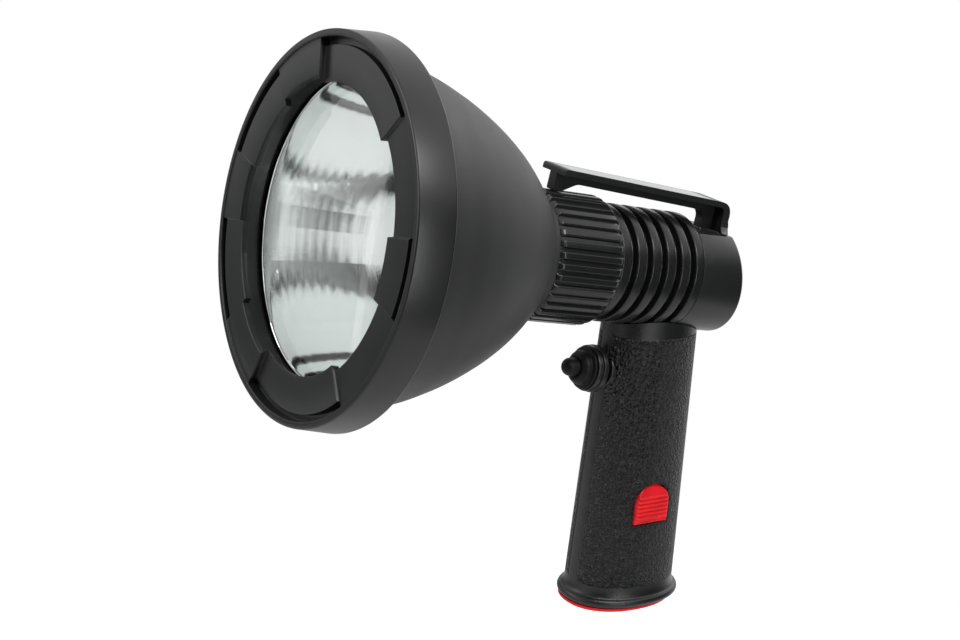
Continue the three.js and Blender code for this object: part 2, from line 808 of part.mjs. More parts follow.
function grip() {
  const footTop = gripLength;
  const foot = gripLength + footThickness;
  const outer = loft([
    ovalLoop(gripHalfWidth(-gripShoulder), gripHalfDepth(-gripShoulder), gripShoulder),
    ovalLoop(gripHalfWidth(footTop - footFillet), gripHalfDepth(footTop - footFillet),
      footFillet - footTop),
    ovalLoop(gripFootHalfWidth + footRound / 2, gripFootHalfDepth + footRound / 2,
      footRound / 2 - footTop),
    ovalLoop(footHalfWidth - footRound / 2, footHalfDepth - footRound / 2, -footTop),
    ovalLoop(footHalfWidth, footHalfDepth, -footTop - footRound),
    ovalLoop(footHalfWidth, footHalfDepth, footRound - foot),
    ovalLoop(footHalfWidth - footRound, footHalfDepth - footRound, -foot),
  ]);
  const boss = disc(bossRadius, switchNeckRear, switchNeckRear + bossReach, smallFacets)
    .translate(0, 0, -switchDrop);
  const barrelHole = disc(switchBarrelRadius + gap, switchNeckRear - overrun,
    switchNeckRear + 2 * bossReach, smallFacets).translate(0, 0, -switchDrop);
  const spotFace = disc(bossRadius, switchHeadRear, switchNeckRear, smallFacets)
    .translate(0, 0, -switchDrop);
  const deepest = foot + overrun;
  const window = solid(slab(latchShape(latchSlack), 4 * footHalfWidth, 2 * curveSteps));
  const bodySeat = disc(bodyRadius + gap, bodyFront, capFront + 2 * capLength, wideFacets);
  const cavity = solid(gripTaper(gripRoof, deepest, gripWall));
  return cut(join(solid(outer), bodyInGrip(boss)), cavity, window,
    bodyInGrip(barrelHole), bodyInGrip(spotFace), bodyInGrip(bodySeat),
    bodyInGrip(post(wireHoleRadius, 0, wireHolePlace, -bodyRadius - 2 * gripRoof, 0)),
    bodyInGrip(post(screwRadius + gap, 0, frontScrewPlace, -bodyRadius - 2 * gripRoof, 0)),
    bodyInGrip(post(screwRadius + gap, 0, rearScrewPlace, -bodyRadius - 2 * gripRoof, 0)));
}

// Where the roof of the grip's cavity lies under a place on the body, and so where a head sits
function roofUnder(place) {
  const local = new THREE.Vector3(0, place, -bodyRadius - gripRoof).applyMatrix4(toGrip);
  return -bodyRadius - gripRoof - (gripRoof + local.z) / Math.cos(gripTilt)
    - Math.tan(gripTilt) * screwHeadRadius - gap - screwHeadHeight;
}

// Latch: an arched button with ribs, held behind the window by a wider rim
function latch(side) {
  const face = gripHalfWidth(latchFoot - latchHeight / 2) + latchProud;
  const back = latchBack;
  const button = slab(latchShape(0), face - back, 2 * curveSteps).translate((face + back) / 2, 0, 0);
  const rim = slab(latchShape(latchRim), latchPlate, 2 * curveSteps)
    .translate(back + latchPlate / 2, 0, 0);
  const top = latchHeight - latchFoot;
  const ribTop = ribFoot + ribCount * ribPitch - latchFoot;
  const slope = new THREE.Shape();
  slope.moveTo(face + overrun, top + overrun);
  slope.lineTo(face - latchSlope, top + overrun);
  slope.lineTo(face, ribTop);
  slope.lineTo(face + overrun, ribTop);
  const bevel = new THREE.ExtrudeGeometry(slope, { depth: 2 * latchWidth, bevelEnabled: false })
    .translate(0, 0, -latchWidth).rotateX(Math.PI / 2);
  let body = cut(join(solid(button), solid(rim)), solid(bevel));
  for (let rib = 0; rib < ribCount; rib += 1) {
    const height = ribFoot + (rib + 0.5) * ribPitch - latchFoot;
    body = cut(body, solid(block(2 * ribDepth, 2 * latchWidth, ribPitch / 2, face, 0, height)));
  }
  return side > 0 ? body : body.mirror([1, 0, 0]);
}

// Leaf spring on the grip's inner wall above a latch, with its free end bent inwards
function latchSpring(side) {
  const foot = latchFoot - latchHeight - latchRim - leafGap;
  const top = foot - leafLength;
  const outside = (down) => innerHalfWidth(down, leafWidth / 2) - gap;
  const bend = foot - leafLength / 2;
  const tip = latchBack + latchPlate / 2;
  const leaf = new THREE.Shape();
  leaf.moveTo(outside(top), -top);
  leaf.lineTo(outside(bend) - leafThickness, -bend);
  leaf.lineTo(tip, -foot);
  leaf.lineTo(tip - leafThickness, -foot);
  leaf.lineTo(outside(bend) - 2 * leafThickness, -bend);
  leaf.lineTo(outside(top) - leafThickness, -top);
  const body = solid(new THREE.ExtrudeGeometry(leaf, { depth: leafWidth, bevelEnabled: false })
    .translate(0, 0, -leafWidth / 2).rotateX(Math.PI / 2));
  return side > 0 ? body : body.mirror([1, 0, 0]);
}

// Switch, along its own axis on the front of the grip
const switchHeadRear = switchHeadFront + switchHeadLength;
const switchNeckRear = switchHeadRear + switchNeckLength + gap;
const switchBarrelRear = switchHeadRear + switchNeckLength + switchBarrelLength;
const tipFront = switchHeadFront - gap - bootFlangeThickness - bootLength - tipReach;

function switchHousing() {
  return solid(revolve([
    [plungerRadius + gap, switchHeadFront],
    [switchHeadRadius - switchHeadRound, switchHeadFront],
    [switchHeadRadius, switchHeadFront + switchHeadRound],
    [switchHeadRadius, switchHeadRear],
    [switchNeckRadius, switchHeadRear],
    [switchNeckRadius, switchHeadRear + switchNeckLength],
    [switchBarrelRadius, switchHeadRear + switchNeckLength],
    [switchBarrelRadius, switchBarrelRear],
    [plungerRadius + gap, switchBarrelRear],
  ], bodyFacets / 2));
}

function switchBoot() {
  const rear = switchHeadFront - gap;
  const flange = rear - bootFlangeThickness;
  const front = flange - bootLength;
  return solid(revolve([
    [tipRadius + gap, front],
    [bootRadius - bootShoulder, front],
    [bootRadius, front + bootShoulder],
    [bootRadius, flange],
    [bootFlangeRadius, flange],
    [bootFlangeRadius, rear],
    [tipRadius + gap, rear],
  ], bodyFacets / 2));
}

function switchTip() {
  const dome = [];
  for (let step = 0; step <= curveSteps / 2; step += 1) {
    const turn = (Math.PI * step) / curveSteps;
    dome.push([tipRadius * Math.sin(turn), tipFront + tipRadius * (1 - Math.cos(turn))]);
  }
  const rear = tipFront + tipReach + tipRoot;
  return solid(revolve([...dome, [tipRadius, rear], [0, rear]], smallFacets));
}

function switchPlunger() {
  return solid(disc(plungerRadius, tipFront + tipReach + tipRoot + gap,
    switchBarrelRear - gap, smallFacets));
}

// Six-sided nut on the switch's barrel, inside the grip
function switchNut() {
  const rear = switchBarrelRear - switchNutSetIn;
  return cut(solid(disc(switchNutRadius, rear - switchNutThickness, rear, wireFacets)),
    solid(disc(switchBarrelRadius + gap, rear - 2 * switchNutThickness, rear + overrun,
      bodyFacets / 2)));
}

function microSwitch() {
  const front = switchBarrelRear + switchTravel + gap;
  const shell = block(microSwitchWidth, microSwitchLength, microSwitchHeight, 0,
    switchBarrelRear + gap + microSwitchLength / 2, 0);
  return cut(solid(shell), solid(disc(plungerRadius + gap, switchBarrelRear, front, smallFacets)));
}

// Battery pack, in the grip's frame
const packInset = gripWall + packSideGap;
const packFoot = gripLength + footThickness;
const sleeveRadius = latchBack - latchTravel - slideGap;
const cellTop = packTop + lidThickness + gap + contactHeight + cellTipHeight;
const cellPlace = cellRadius + gap / 2;
const packShoulder = latchFoot + latchRim + latchSlack + slideGap;

// A loop round both cells at one height, for the sleeve that holds them between the latches
function sleeveLoop(radius, height) {
  const loop = [];
  for (const end of [1, -1]) {
    for (let step = 0; step <= gripFacets / 2; step += 1) {
      const turn = (Math.PI * step) / (gripFacets / 2);
      loop.push(new THREE.Vector3(end * radius * Math.cos(turn),
        end * (cellPlace + radius * Math.sin(turn)), height));
    }
  }
  return loop;
}

// Sleeve: a tube round both cells, narrow enough to pass between the latches
function batterySleeve() {
  const top = -packTop - lidThickness - gap;
  const foot = gap - packShoulder;
  const bore = sleeveRadius - caseWall;
  return cut(solid(loft([sleeveLoop(sleeveRadius, top), sleeveLoop(sleeveRadius, foot)])),
    solid(loft([sleeveLoop(bore, 0), sleeveLoop(bore, -packFoot)])));
}

// Case: a wide foot that fills the grip, with the cells' lower ends above and the board below
function batteryCase() {
  const wide = solid(gripTaper(packShoulder, packFoot, packInset));
  const bore = sleeveRadius - caseWall;
  const cellBay = solid(loft([sleeveLoop(bore, 0), sleeveLoop(bore, -cellTop - cellLength)]));
  const floor = cellTop + cellLength + cellFloor;
  const inset = packInset + caseWall + gap;
  const boardBay = solid(gripTaper(floor, packFoot + overrun, inset));
  const boss = (y) => solid(post(screwHeadRadius, 0, y, -packFoot, overrun - floor)).intersect(wide);
  const hole = (y) => solid(post(screwRadius + gap, 0, y, -packFoot - overrun,
    gap + overrun - baseTop));
  return cut(join(cut(wide, cellBay, boardBay), boss(baseScrewSpread), boss(-baseScrewSpread)),
    hole(baseScrewSpread), hole(-baseScrewSpread));
}

function batteryLid() {
  const plate = solid(loft([sleeveLoop(sleeveRadius, -packTop),
    sleeveLoop(sleeveRadius, -packTop - lidThickness)]));
  const hole = (y) => solid(post(contactRadius + gap, 0, y, -packTop - 2 * lidThickness,
    overrun - packTop));
  return cut(plate, hole(-cellPlace), hole(cellPlace));
}

// A cell with its raised terminal upwards
function cell(y) {
  return join(
    solid(post(cellRadius, 0, y, -cellTop - cellLength, -cellTop, bodyFacets / 2)),
    solid(post(cellTipRadius, 0, y, -cellTop - gap, cellTipHeight - cellTop)));
}

function contactPlate(y) {
  const from = -packTop - lidThickness - gap;
  return join(
    solid(post(contactRadius, 0, y, from, contactHeight / 2 - packTop)),
    solid(post(cellTipRadius, 0, y, from - contactHeight + gap, from + gap)));
}

function contactBlock() {
  return solid(gripTaper(contactDeck, contactDeck + contactBlockThickness, gripWall + gap));
}

function contactPin(y) {
  const from = gap + contactHeight / 2 - packTop;
  return solid(post(contactPinRadius, 0, y, from, -contactDeck - contactBlockThickness - gap));
}

const packBoardTop = cellTop + cellLength + cellFloor + gap;

function packBoard() {
  const inset = packInset + caseWall + 2 * gap;
  const notch = (y) => solid(post(screwHeadRadius + gap, 0, y, -packFoot, 0));
  return cut(solid(gripTaper(packBoardTop, packBoardTop + packBoardThickness, inset)),
    notch(baseScrewSpread), notch(-baseScrewSpread));
}

const baseTop = packFoot + gap;
const baseFoot = baseTop + baseThickness;
const bossFoot = baseFoot + baseBossHeight;

function batteryBase() {
  const [wide, deep] = [footHalfWidth - baseInset, footHalfDepth - baseInset];
  const edge = baseThickness / 2;
  const plate = solid(loft([
    ovalLoop(wide, deep, -baseTop),
    ovalLoop(wide, deep, edge - baseFoot),
    ovalLoop(wide - edge, deep - edge, -baseFoot),
  ]));
  const boss = solid(post(baseBossRadius, 0, baseBossBack, -bossFoot, edge - baseFoot));
  const drill = (radius, y) => solid(post(radius, 0, y, -bossFoot - overrun, overrun - baseTop));
  const sink = (y) => solid(post(screwHeadRadius + gap, 0, y, -bossFoot, edge - baseFoot));
  return cut(join(plate, boss), drill(socketRadius + gap, baseBossBack),
    drill(lampRadius + gap, -lampForward),
    drill(screwRadius + gap, baseScrewSpread), drill(screwRadius + gap, -baseScrewSpread),
    sink(baseScrewSpread), sink(-baseScrewSpread));
}

// Charging socket: a cup with its pin, open downwards
function chargeSocket() {
  const top = socketDepth - bossFoot;
  const cup = cut(
    solid(post(socketRadius, 0, baseBossBack, -bossFoot, top)),
    solid(post(socketBore, 0, baseBossBack, -bossFoot - overrun, top - 2 * socketPin)));
  return join(cup, solid(post(socketPin, 0, baseBossBack, overrun - bossFoot, top - socketPin)));
}

function chargeLamp() {
  return solid(post(lampRadius, 0, -lampForward, -baseFoot - lampHeight,
    -baseTop));
}

function baseScrew(y) {
  const headFrom = gap - baseFoot;
  const shoulder = baseThickness / 2 - baseFoot - gap;
  return join(
    solid(post(screwHeadRadius, 0, y, headFrom, shoulder)),
    solid(post(screwRadius, 0, y, headFrom, -baseTop + overrun)));
}

// Materials
const finish = (color, roughness, metalness, extra = {}) => new THREE.MeshStandardMaterial({
  color, roughness, metalness, flatShading: true, ...extra,
});
const satinBlack = finish(0x1a1a1b, 0.38, 0.1);
const matteBlack = finish(0x1d1d1e, 0.7, 0);
const anodised = finish(0x17171a, 0.42, 0.7);
const rubber = finish(0x111112, 0.75, 0);
const redPlastic = finish(0xc01018, 0.35, 0);
const mirror = finish(0xe8ecec, 0.05, 1);
const glass = finish(0xf2f6f6, 0.02, 0, { transparent: true, opacity: 0.3 });
const board = finish(0x1c4a2c, 0.6, 0);
const aluminium = finish(0xb8babd, 0.35, 1);
const steel = finish(0x8b8d90, 0.3, 1);
const emitterYellow = finish(0xe8c93a, 0.3, 0);
const brass = finish(0xc8a24a, 0.3, 1);
const redWire = finish(0xb0151b, 0.5, 0);
const blackWire = finish(0x151515, 0.5, 0);
const cellWrap = finish(0x2a6a86, 0.4, 0.1);
const greyPlastic = finish(0x3a3b3d, 0.55, 0);

// Assembly
const lamp = new THREE.Group();
lamp.position.copy(gripCentre).negate();
const gripFrame = new THREE.Group();
gripPlace.decompose(gripFrame.position, gripFrame.quaternion, gripFrame.scale);
const switchFrame = new THREE.Group();
switchFrame.position.z = -switchDrop;
lamp.add(gripFrame, switchFrame);

function add(frame, name, piece, material) {
  const { vertProperties, triVerts } = piece.getMesh();
  const geometry = new THREE.BufferGeometry();
  geometry.setAttribute('position', new THREE.BufferAttribute(new Float32Array(vertProperties), 3));
  geometry.setIndex(new THREE.BufferAttribute(new Uint32Array(triVerts), 1));
  geometry.computeVertexNormals();
  const mesh = new THREE.Mesh(geometry, material);
  mesh.name = name;
  frame.add(mesh);
}

// Head
add(lamp, 'bezel', bezel(), satinBlack);
add(lamp, 'bezel_seal', solid(sealRing(dishSkirtRadius - dishSkirtWall / 2,
  plateBack + gap + ringSection, wideFacets)), rubber);
add(lamp, 'lens_gasket', solid(tube(sleeveInner - gasketLip, stackRadius, gasketFront,
  gasketFront + gasketThickness, wideFacets)), rubber);
add(lamp, 'lens', solid(disc(stackRadius, lensFront, lensFront + lensThickness, wideFacets)), glass);
add(lamp, 'reflector', reflector(), mirror);
add(lamp, 'dish', dish(), matteBlack);
add(lamp, 'neck_seal', solid(sealRing(neckRadius - ringSection + gap / 2,
  collarFront + 2 * ringSection + gap)), rubber);

// Focus collar
add(lamp, 'focus_collar', focusCollar(), satinBlack);

// Body
add(lamp, 'heat_sink', heatSink(), anodised);
add(lamp, 'guide_key', guideKey(), steel);
add(lamp, 'collar_circlip', solid(tube(guideRadius - circlipGroove + gap,
  guideRadius - circlipGroove + gap + circlipWidth, circlipFront, circlipFront + circlipThickness)),
steel);
const lampBoardFront = pillarFront - gap - boardThickness;
add(lamp, 'lamp_board', solid(disc(lampBoardRadius, lampBoardFront, pillarFront - gap,
  bodyFacets / 2)), aluminium);
const emitter = [[0, lampBoardFront - gap], [emitterBase, lampBoardFront - gap],
  [emitterBase, lampBoardFront - gap - emitterBaseHeight],
  [emitterRadius, lampBoardFront - gap - emitterBaseHeight]];
for (let step = 1; step <= curveSteps / 2; step += 1) {
  const turn = (Math.PI * step) / curveSteps;
  emitter.push([emitterRadius * Math.cos(turn),
    lampBoardFront - gap - emitterBaseHeight - emitterRadius * Math.sin(turn)]);
}
add(lamp, 'lamp_emitter', solid(revolve(emitter, smallFacets)), emitterYellow);
const driverBoard = join(
  solid(disc(chamberRadius - gap, shelf + gap, shelf + gap + driverThickness)),
  solid(disc(coilRadius, shelf + driverThickness, shelf + driverThickness + coilHeight, smallFacets)
    .translate(chamberRadius - shelfWidth - coilInset - coilRadius, 0, 0)),
  solid(block(chipSize, 2 * chipHeight, chipSize, -chipSize - wireSpread, shelf + gap
    + driverThickness, 0)));
add(lamp, 'driver_board', driverBoard, board);
add(lamp, 'driver_ring', solid(tube(chamberRadius - shelfWidth, chamberRadius - gap,
  shelf + 2 * gap + driverThickness, shelf + 2 * gap + driverThickness + driverRingLength)), brass);
for (const [name, x, material] of [['lamp_wire_red', wireSpread, redWire],
  ['lamp_wire_black', -wireSpread, blackWire]]) {
  add(lamp, name, solid(disc(wireRadius, pillarFront, shelf, wireFacets).translate(x, 0, 0)), material);
}
const wireSide = microSwitchWidth / 2 + 4 * wireRadius;
for (const [name, side, material] of [['supply_wire_red', 1, redWire],
  ['supply_wire_black', -1, blackWire]]) {
  const foot = new THREE.Vector3(side * wireSide, -wireHoleForward, gap - contactDeck)
    .applyMatrix4(gripPlace);
  const into = shelf + 2 * gap + driverThickness + wireRadius;
  const x = side * wireSpread;
  const above = microSwitchHeight / 2 - switchDrop;
  add(lamp, name, solid(wire([
    foot.toArray(),
    [side * wireSide, (foot.y + wireHolePlace) / 2, above],
    [x, wireHolePlace, -bodyRadius - gripRoof - wireHoleRadius / 2],
    [x, wireHolePlace, -bodyRadius + finDepth],
    [x, (wireHolePlace + into) / 2, -chamberRadius / 2],
    [x, into, -chamberRadius / 2],
  ])), material);
}
const switchWireFoot = switchBarrelRear + gap + microSwitchLength + gap + wireRadius;
add(lamp, 'switch_wire', solid(wire([
  [0, switchWireFoot, -switchDrop],
  [0, switchWireFoot + wireSpread, -bodyRadius - 2 * gripRoof],
  [0, wireHolePlace + wireSpread, -bodyRadius - gripRoof - wireHoleRadius / 2],
  [0, wireHolePlace + wireSpread, -bodyRadius + finDepth],
  [0, (wireHolePlace + shelf) / 2 + wireHoleRadius, -chamberRadius / 2],
  [0, shelf + 2 * gap + driverThickness + wireRadius, -chamberRadius / 2],
])), redWire);
add(lamp, 'rear_cap', rearCap(), satinBlack);
add(lamp, 'cap_seal', solid(sealRing(spigotRadius - ringSection + gap / 2,
  capFront - spigotLength + spigotRingInset + ringSection)), rubber);
add(lamp, 'top_clip', topClip(), satinBlack);
add(lamp, 'clip_screw', screw(0, clipScrewPlace, clipHeadTop - screwHeadHeight, clipScrewTip),
  steel);

// Grip and switch
add(gripFrame, 'grip', grip(), matteBlack);
add(lamp, 'grip_screw_front', screw(0, frontScrewPlace, roofUnder(frontScrewPlace), screwTip), steel);
add(lamp, 'grip_screw_rear', screw(0, rearScrewPlace, roofUnder(rearScrewPlace), screwTip), steel);
add(gripFrame, 'latch_left', latch(1), redPlastic);
add(gripFrame, 'latch_right', latch(-1), redPlastic);
add(gripFrame, 'latch_spring_left', latchSpring(1), steel);
add(gripFrame, 'latch_spring_right', latchSpring(-1), steel);
add(switchFrame, 'switch_housing', switchHousing(), satinBlack);
add(switchFrame, 'switch_boot', switchBoot(), rubber);
add(switchFrame, 'switch_tip', switchTip(), rubber);
add(switchFrame, 'switch_plunger', switchPlunger(), steel);
add(switchFrame, 'switch_nut', switchNut(), steel);
add(switchFrame, 'micro_switch', microSwitch(), greyPlastic);

// Contacts and battery pack
add(gripFrame, 'contact_block', contactBlock(), greyPlastic);
add(gripFrame, 'contact_pin_front', contactPin(-cellPlace), brass);
add(gripFrame, 'contact_pin_rear', contactPin(cellPlace), brass);
add(gripFrame, 'battery_case', batteryCase(), greyPlastic);
add(gripFrame, 'battery_sleeve', batterySleeve(), greyPlastic);
add(gripFrame, 'battery_lid', batteryLid(), greyPlastic);
add(gripFrame, 'cell_front', cell(-cellPlace), cellWrap);
add(gripFrame, 'cell_rear', cell(cellPlace), cellWrap);
add(gripFrame, 'contact_plate_front', contactPlate(-cellPlace), brass);
add(gripFrame, 'contact_plate_rear', contactPlate(cellPlace), brass);
add(gripFrame, 'battery_board', packBoard(), board);
add(gripFrame, 'battery_base', batteryBase(), redPlastic);
add(gripFrame, 'charge_socket', chargeSocket(), blackWire);
add(gripFrame, 'charge_lamp', chargeLamp(), glass);
add(gripFrame, 'base_screw_front', baseScrew(-baseScrewSpread), steel);
add(gripFrame, 'base_screw_rear', baseScrew(baseScrewSpread), steel);

export default lamp;
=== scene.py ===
import math

import bmesh
import bpy
import numpy as np
from bpy.props import FloatProperty, FloatVectorProperty, IntProperty, PointerProperty
from bpy.types import Operator, Panel, PropertyGroup
from mathutils import Matrix, Vector


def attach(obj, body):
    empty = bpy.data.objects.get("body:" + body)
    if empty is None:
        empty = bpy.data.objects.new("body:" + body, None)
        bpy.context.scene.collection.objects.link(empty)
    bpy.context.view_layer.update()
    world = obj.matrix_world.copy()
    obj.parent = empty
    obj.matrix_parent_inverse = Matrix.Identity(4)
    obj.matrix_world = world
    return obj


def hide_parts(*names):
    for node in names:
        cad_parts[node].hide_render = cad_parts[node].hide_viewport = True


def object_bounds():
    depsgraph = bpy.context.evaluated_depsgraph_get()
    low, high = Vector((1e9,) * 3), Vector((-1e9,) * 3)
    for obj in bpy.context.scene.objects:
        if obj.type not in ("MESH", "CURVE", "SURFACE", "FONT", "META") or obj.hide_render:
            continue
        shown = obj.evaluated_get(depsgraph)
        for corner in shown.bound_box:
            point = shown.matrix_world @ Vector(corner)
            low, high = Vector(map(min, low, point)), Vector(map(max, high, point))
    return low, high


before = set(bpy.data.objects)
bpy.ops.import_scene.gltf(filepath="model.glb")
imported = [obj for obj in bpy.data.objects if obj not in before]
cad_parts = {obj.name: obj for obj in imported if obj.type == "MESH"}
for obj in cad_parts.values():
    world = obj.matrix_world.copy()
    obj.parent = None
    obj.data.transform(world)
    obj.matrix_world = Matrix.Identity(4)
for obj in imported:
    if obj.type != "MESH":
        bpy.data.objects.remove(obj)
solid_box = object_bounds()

bl_info = {
    "name": "Handheld searchlight",
    "version": (1, 0, 0),
    "blender": (4, 5, 0),
    "location": "3D View > Sidebar > Searchlight",
    "description": "Fine surfaces, finishes and studio for a handheld searchlight",
    "category": "Object",
}

# Lengths are millimetres unless a comment or a property says otherwise. The optical frame has its
# origin in the middle of the front rim, the beam leaves along -Y, and +Z is up.
MM = 0.001
# Room between a piece and the cut that takes it
CLEAR = 0.3
# The grip leans by this many radians, and its axis leaves the body here behind the rim
TILT = 0.16
GRIP_BACK = 173.1
GRIP_LENGTH = 120.2
# The finned body's radius and front, and the joint between it and the cap
BODY_RADIUS = 24.8
BODY_FRONT = 131.1
CAP_FRONT = 174.5
# How far the switch's axis lies below the body's, and the latches' foot down the grip
SWITCH_DROP = 46.2
LATCH_FOOT = 85.3
# The clip's top edge: where it starts, its height there and its fall for each millimetre
CLIP_FRONT = 104.4
CLIP_HEIGHT = 37.4
CLIP_FALL = 0.0475
# Height of the flat seat on top of the cap under the clip
CLIP_SEAT = 20.2
# Edges sharper than this many degrees stay sharp, unless a piece asks for another limit
SHARP = 35


def length(label, words, default):
    """A size in metres that the panel shows."""
    return FloatProperty(name=label, description=words, default=default * MM, unit="LENGTH", precision=5)


def colour(label, words, default):
    """A colour that the panel shows."""
    return FloatVectorProperty(name=label, description=words, default=default, size=3, min=0, max=1,
                               subtype="COLOR")


class HeadSizes(PropertyGroup):
    """Sizes of the bezel, the dish and the reflector."""
    rim: length("Rim radius", "Radius of the front rim", 75.0)
    rear: length("Bezel rear radius", "Radius of the bezel at its rear edge", 76.2)
    depth: length("Bezel depth", "Length of the bezel along the beam", 15.6)
    face: length("Rim face", "Width of the flat face of the rim", 2.8)
    seat: length("Seat radius", "Inner radius of the plain pads of the filter seat", 57.7)
    shift: length("Tab reach", "How far the tabs stand inwards of the pads", 2.5)
    vertex: length("Mirror vertex", "Where the parabola would close, behind the rim", 94.0)
    mouth: length("Mirror radius", "Radius of the reflector at its mouth", 58.7)
    steps: IntProperty(name="Mirror steps", description="Steps of the parabola from mouth to hole",
                       default=64, min=8, max=120)


class BodySizes(PropertyGroup):
    """Sizes of the focus collar, the finned body, the rear cap and the clip."""
    collar: length("Collar radius", "Radius over the ridges of the focus collar", 27.2)
    groove: length("Collar groove", "Depth of the grooves between the ridges", 1.3)
    ridges: IntProperty(name="Ridges", description="Ridges round the focus collar", default=36, min=6,
                        max=90)
    fin_depth: length("Fin depth", "Depth of the grooves between the fins", 3.5)
    fin_pitch: length("Fin pitch", "Distance from one fin to the next", 7.8)
    clip_width: length("Clip width", "Width of the clip on top", 16.4)


class GripSizes(PropertyGroup):
    """Sizes of the grip, its latches and the foot of the battery."""
    top_width: length("Top half-width", "Half of the grip's width under the body", 16.2)
    top_depth: length("Top half-depth", "Half of the grip's depth under the body", 22.3)
    foot_width: length("Foot half-width", "Half of the grip's width above its foot", 18.8)
    foot_depth: length("Foot half-depth", "Half of the grip's depth above its foot", 25.7)
    latch_width: length("Latch width", "Width of the red latch button", 17.6)
    latch_height: length("Latch height", "Height of the red latch button", 17.8)
    cells: length("Grain", "Size of one cell of the moulded leather grain", 2.1)


class Finishes(PropertyGroup):
    """Colours of the finishes."""
    satin: colour("Satin black", "Bezel, cap, clip and switch", (0.012, 0.012, 0.0125))
    matte: colour("Matte black", "Dish and grip", (0.020, 0.020, 0.021))
    anodised: colour("Anodised black", "Focus collar and fins", (0.013, 0.013, 0.014))
    rubber: colour("Rubber", "Switch boot and seals", (0.006, 0.006, 0.006))
    red: colour("Red plastic", "Latches and foot of the battery", (0.88, 0.010, 0.018))
    mirror: colour("Mirror", "Vapour coat of the reflector", (0.86, 0.89, 0.88))


# Places

GRIP_CENTRE = np.array([
    0.0,
    GRIP_BACK + GRIP_LENGTH / 2 * math.sin(TILT),
    -BODY_RADIUS - GRIP_LENGTH / 2 * math.cos(TILT),
])


def optical(points):
    """Millimetres in the optical frame as metres round the middle of the grip."""
    return (np.asarray(points, float) - GRIP_CENTRE) * MM


def gripped(points):
    """Millimetres in the grip's own slanted frame as metres round the middle of the grip.

    The slanted frame is the optical one turned by the tilt about X, with its origin where the grip's
    axis leaves the body, so a height of -s lies s down the grip.
    """
    p = np.asarray(points, float)
    c, s = math.cos(TILT), math.sin(TILT)
    turned = np.stack([p[..., 0], p[..., 1] * c - p[..., 2] * s, p[..., 1] * s + p[..., 2] * c], -1)
    return optical(turned + np.array([0.0, GRIP_BACK, -BODY_RADIUS]))


# Surfaces

def smooth(x):
    """The cubic 3x^2 - 2x^3 on x held between 0 and 1."""
    x = np.clip(x, 0.0, 1.0)
    return x * x * (3 - 2 * x)


def eased(corners, fillets, steps=5):
    """Closed profiles with every corner replaced by a quadratic curve.

    corners is (corner, profile, 2) or (corner, 2), and fillets gives how far each curve reaches
    along both edges, held to under half of the shorter edge. The curve is
    (1-t)^2 A + 2t(1-t) P + t^2 B, with A and B on the edges on both sides of the corner P.
    """
    corners = np.asarray(corners, float)
    if corners.ndim == 2:
        corners = corners[:, None, :]
    before = np.roll(corners, 1, axis=0) - corners
    after = np.roll(corners, -1, axis=0) - corners
    back = np.linalg.norm(before, axis=2, keepdims=True) + 1e-9
    ahead = np.linalg.norm(after, axis=2, keepdims=True) + 1e-9
    reach = np.minimum(np.asarray(fillets, float).reshape(-1, 1, 1), 0.49 * np.minimum(back, ahead))
    a = corners + before / back * reach
    b = corners + after / ahead * reach
    t = np.linspace(0, 1, steps)[None, :, None, None]
    curve = (1 - t) ** 2 * a[:, None] + 2 * t * (1 - t) * corners[:, None] + t ** 2 * b[:, None]
    return curve.reshape(-1, corners.shape[1], 2)


def rounded(corners, steps=5):
    """An eased profile from corners that hold a radius, a place and a fillet first."""
    return eased([c[:2] for c in corners], [c[2] for c in corners], steps)


def band(inner, outer, low, high, fillets, steps=5):
    """An eased rectangle between two radii and two places."""
    return eased([[inner, low], [outer, low], [outer, high], [inner, high]], fillets, steps)


def refined(profile, longest):
    """The profile with its long edges cut into equal stretches no longer than a limit."""
    profile = np.asarray(profile, float).reshape(-1, 2)
    ahead = np.roll(profile, -1, axis=0)
    counts = np.maximum(1, np.ceil(np.linalg.norm(ahead - profile, axis=1) / longest)).astype(int)
    stretches = [p + (q - p) * np.linspace(0, 1, n, endpoint=False)[:, None]
                 for p, q, n in zip(profile, ahead, counts)]
    return np.concatenate(stretches)


def angles(count):
    """Equal angles round a circle, in radians."""
    return np.linspace(0, 2 * math.pi, count, endpoint=False)


def turned(profile, count, lean=None, centre=(0.0, 0.0)):
    """A surface of revolution about Y: (r cos t, a, r sin t) for a profile of radius r and place a.

    lean, if given, holds for each row the share of the grip's slant that it takes, which changes its
    place to a - share tan(tilt) z, and centre moves the axis in X and Z.
    """
    profile = np.asarray(profile, float).reshape(len(profile), -1, 2)
    t = angles(count)
    radius = profile[:, :, 0] * np.ones(count)
    along = profile[:, :, 1] * np.ones(count)
    x, z = radius * np.cos(t), radius * np.sin(t)
    if lean is not None:
        along = along - math.tan(TILT) * np.asarray(lean)[:, None] * z
    return np.stack([x + centre[0], along, z + centre[1]], -1)


def oval(width, depth, height, count):
    """Rows of the superellipse |x/w|^p + |y/d|^p = 1 at heights, in the grip's frame.

    A point at the angle t is (w sgn(cos t)|cos t|^(2/p), d sgn(sin t)|sin t|^(2/p)).
    """
    power = 2.2
    t = angles(count)
    c, s = np.cos(t), np.sin(t)
    x = np.sign(c) * np.abs(c) ** (2 / power)
    y = np.sign(s) * np.abs(s) ** (2 / power)
    width, depth, height = (np.asarray(v, float)[:, None] for v in (width, depth, height))
    return np.stack([width * x, depth * y, height + 0 * x], -1)


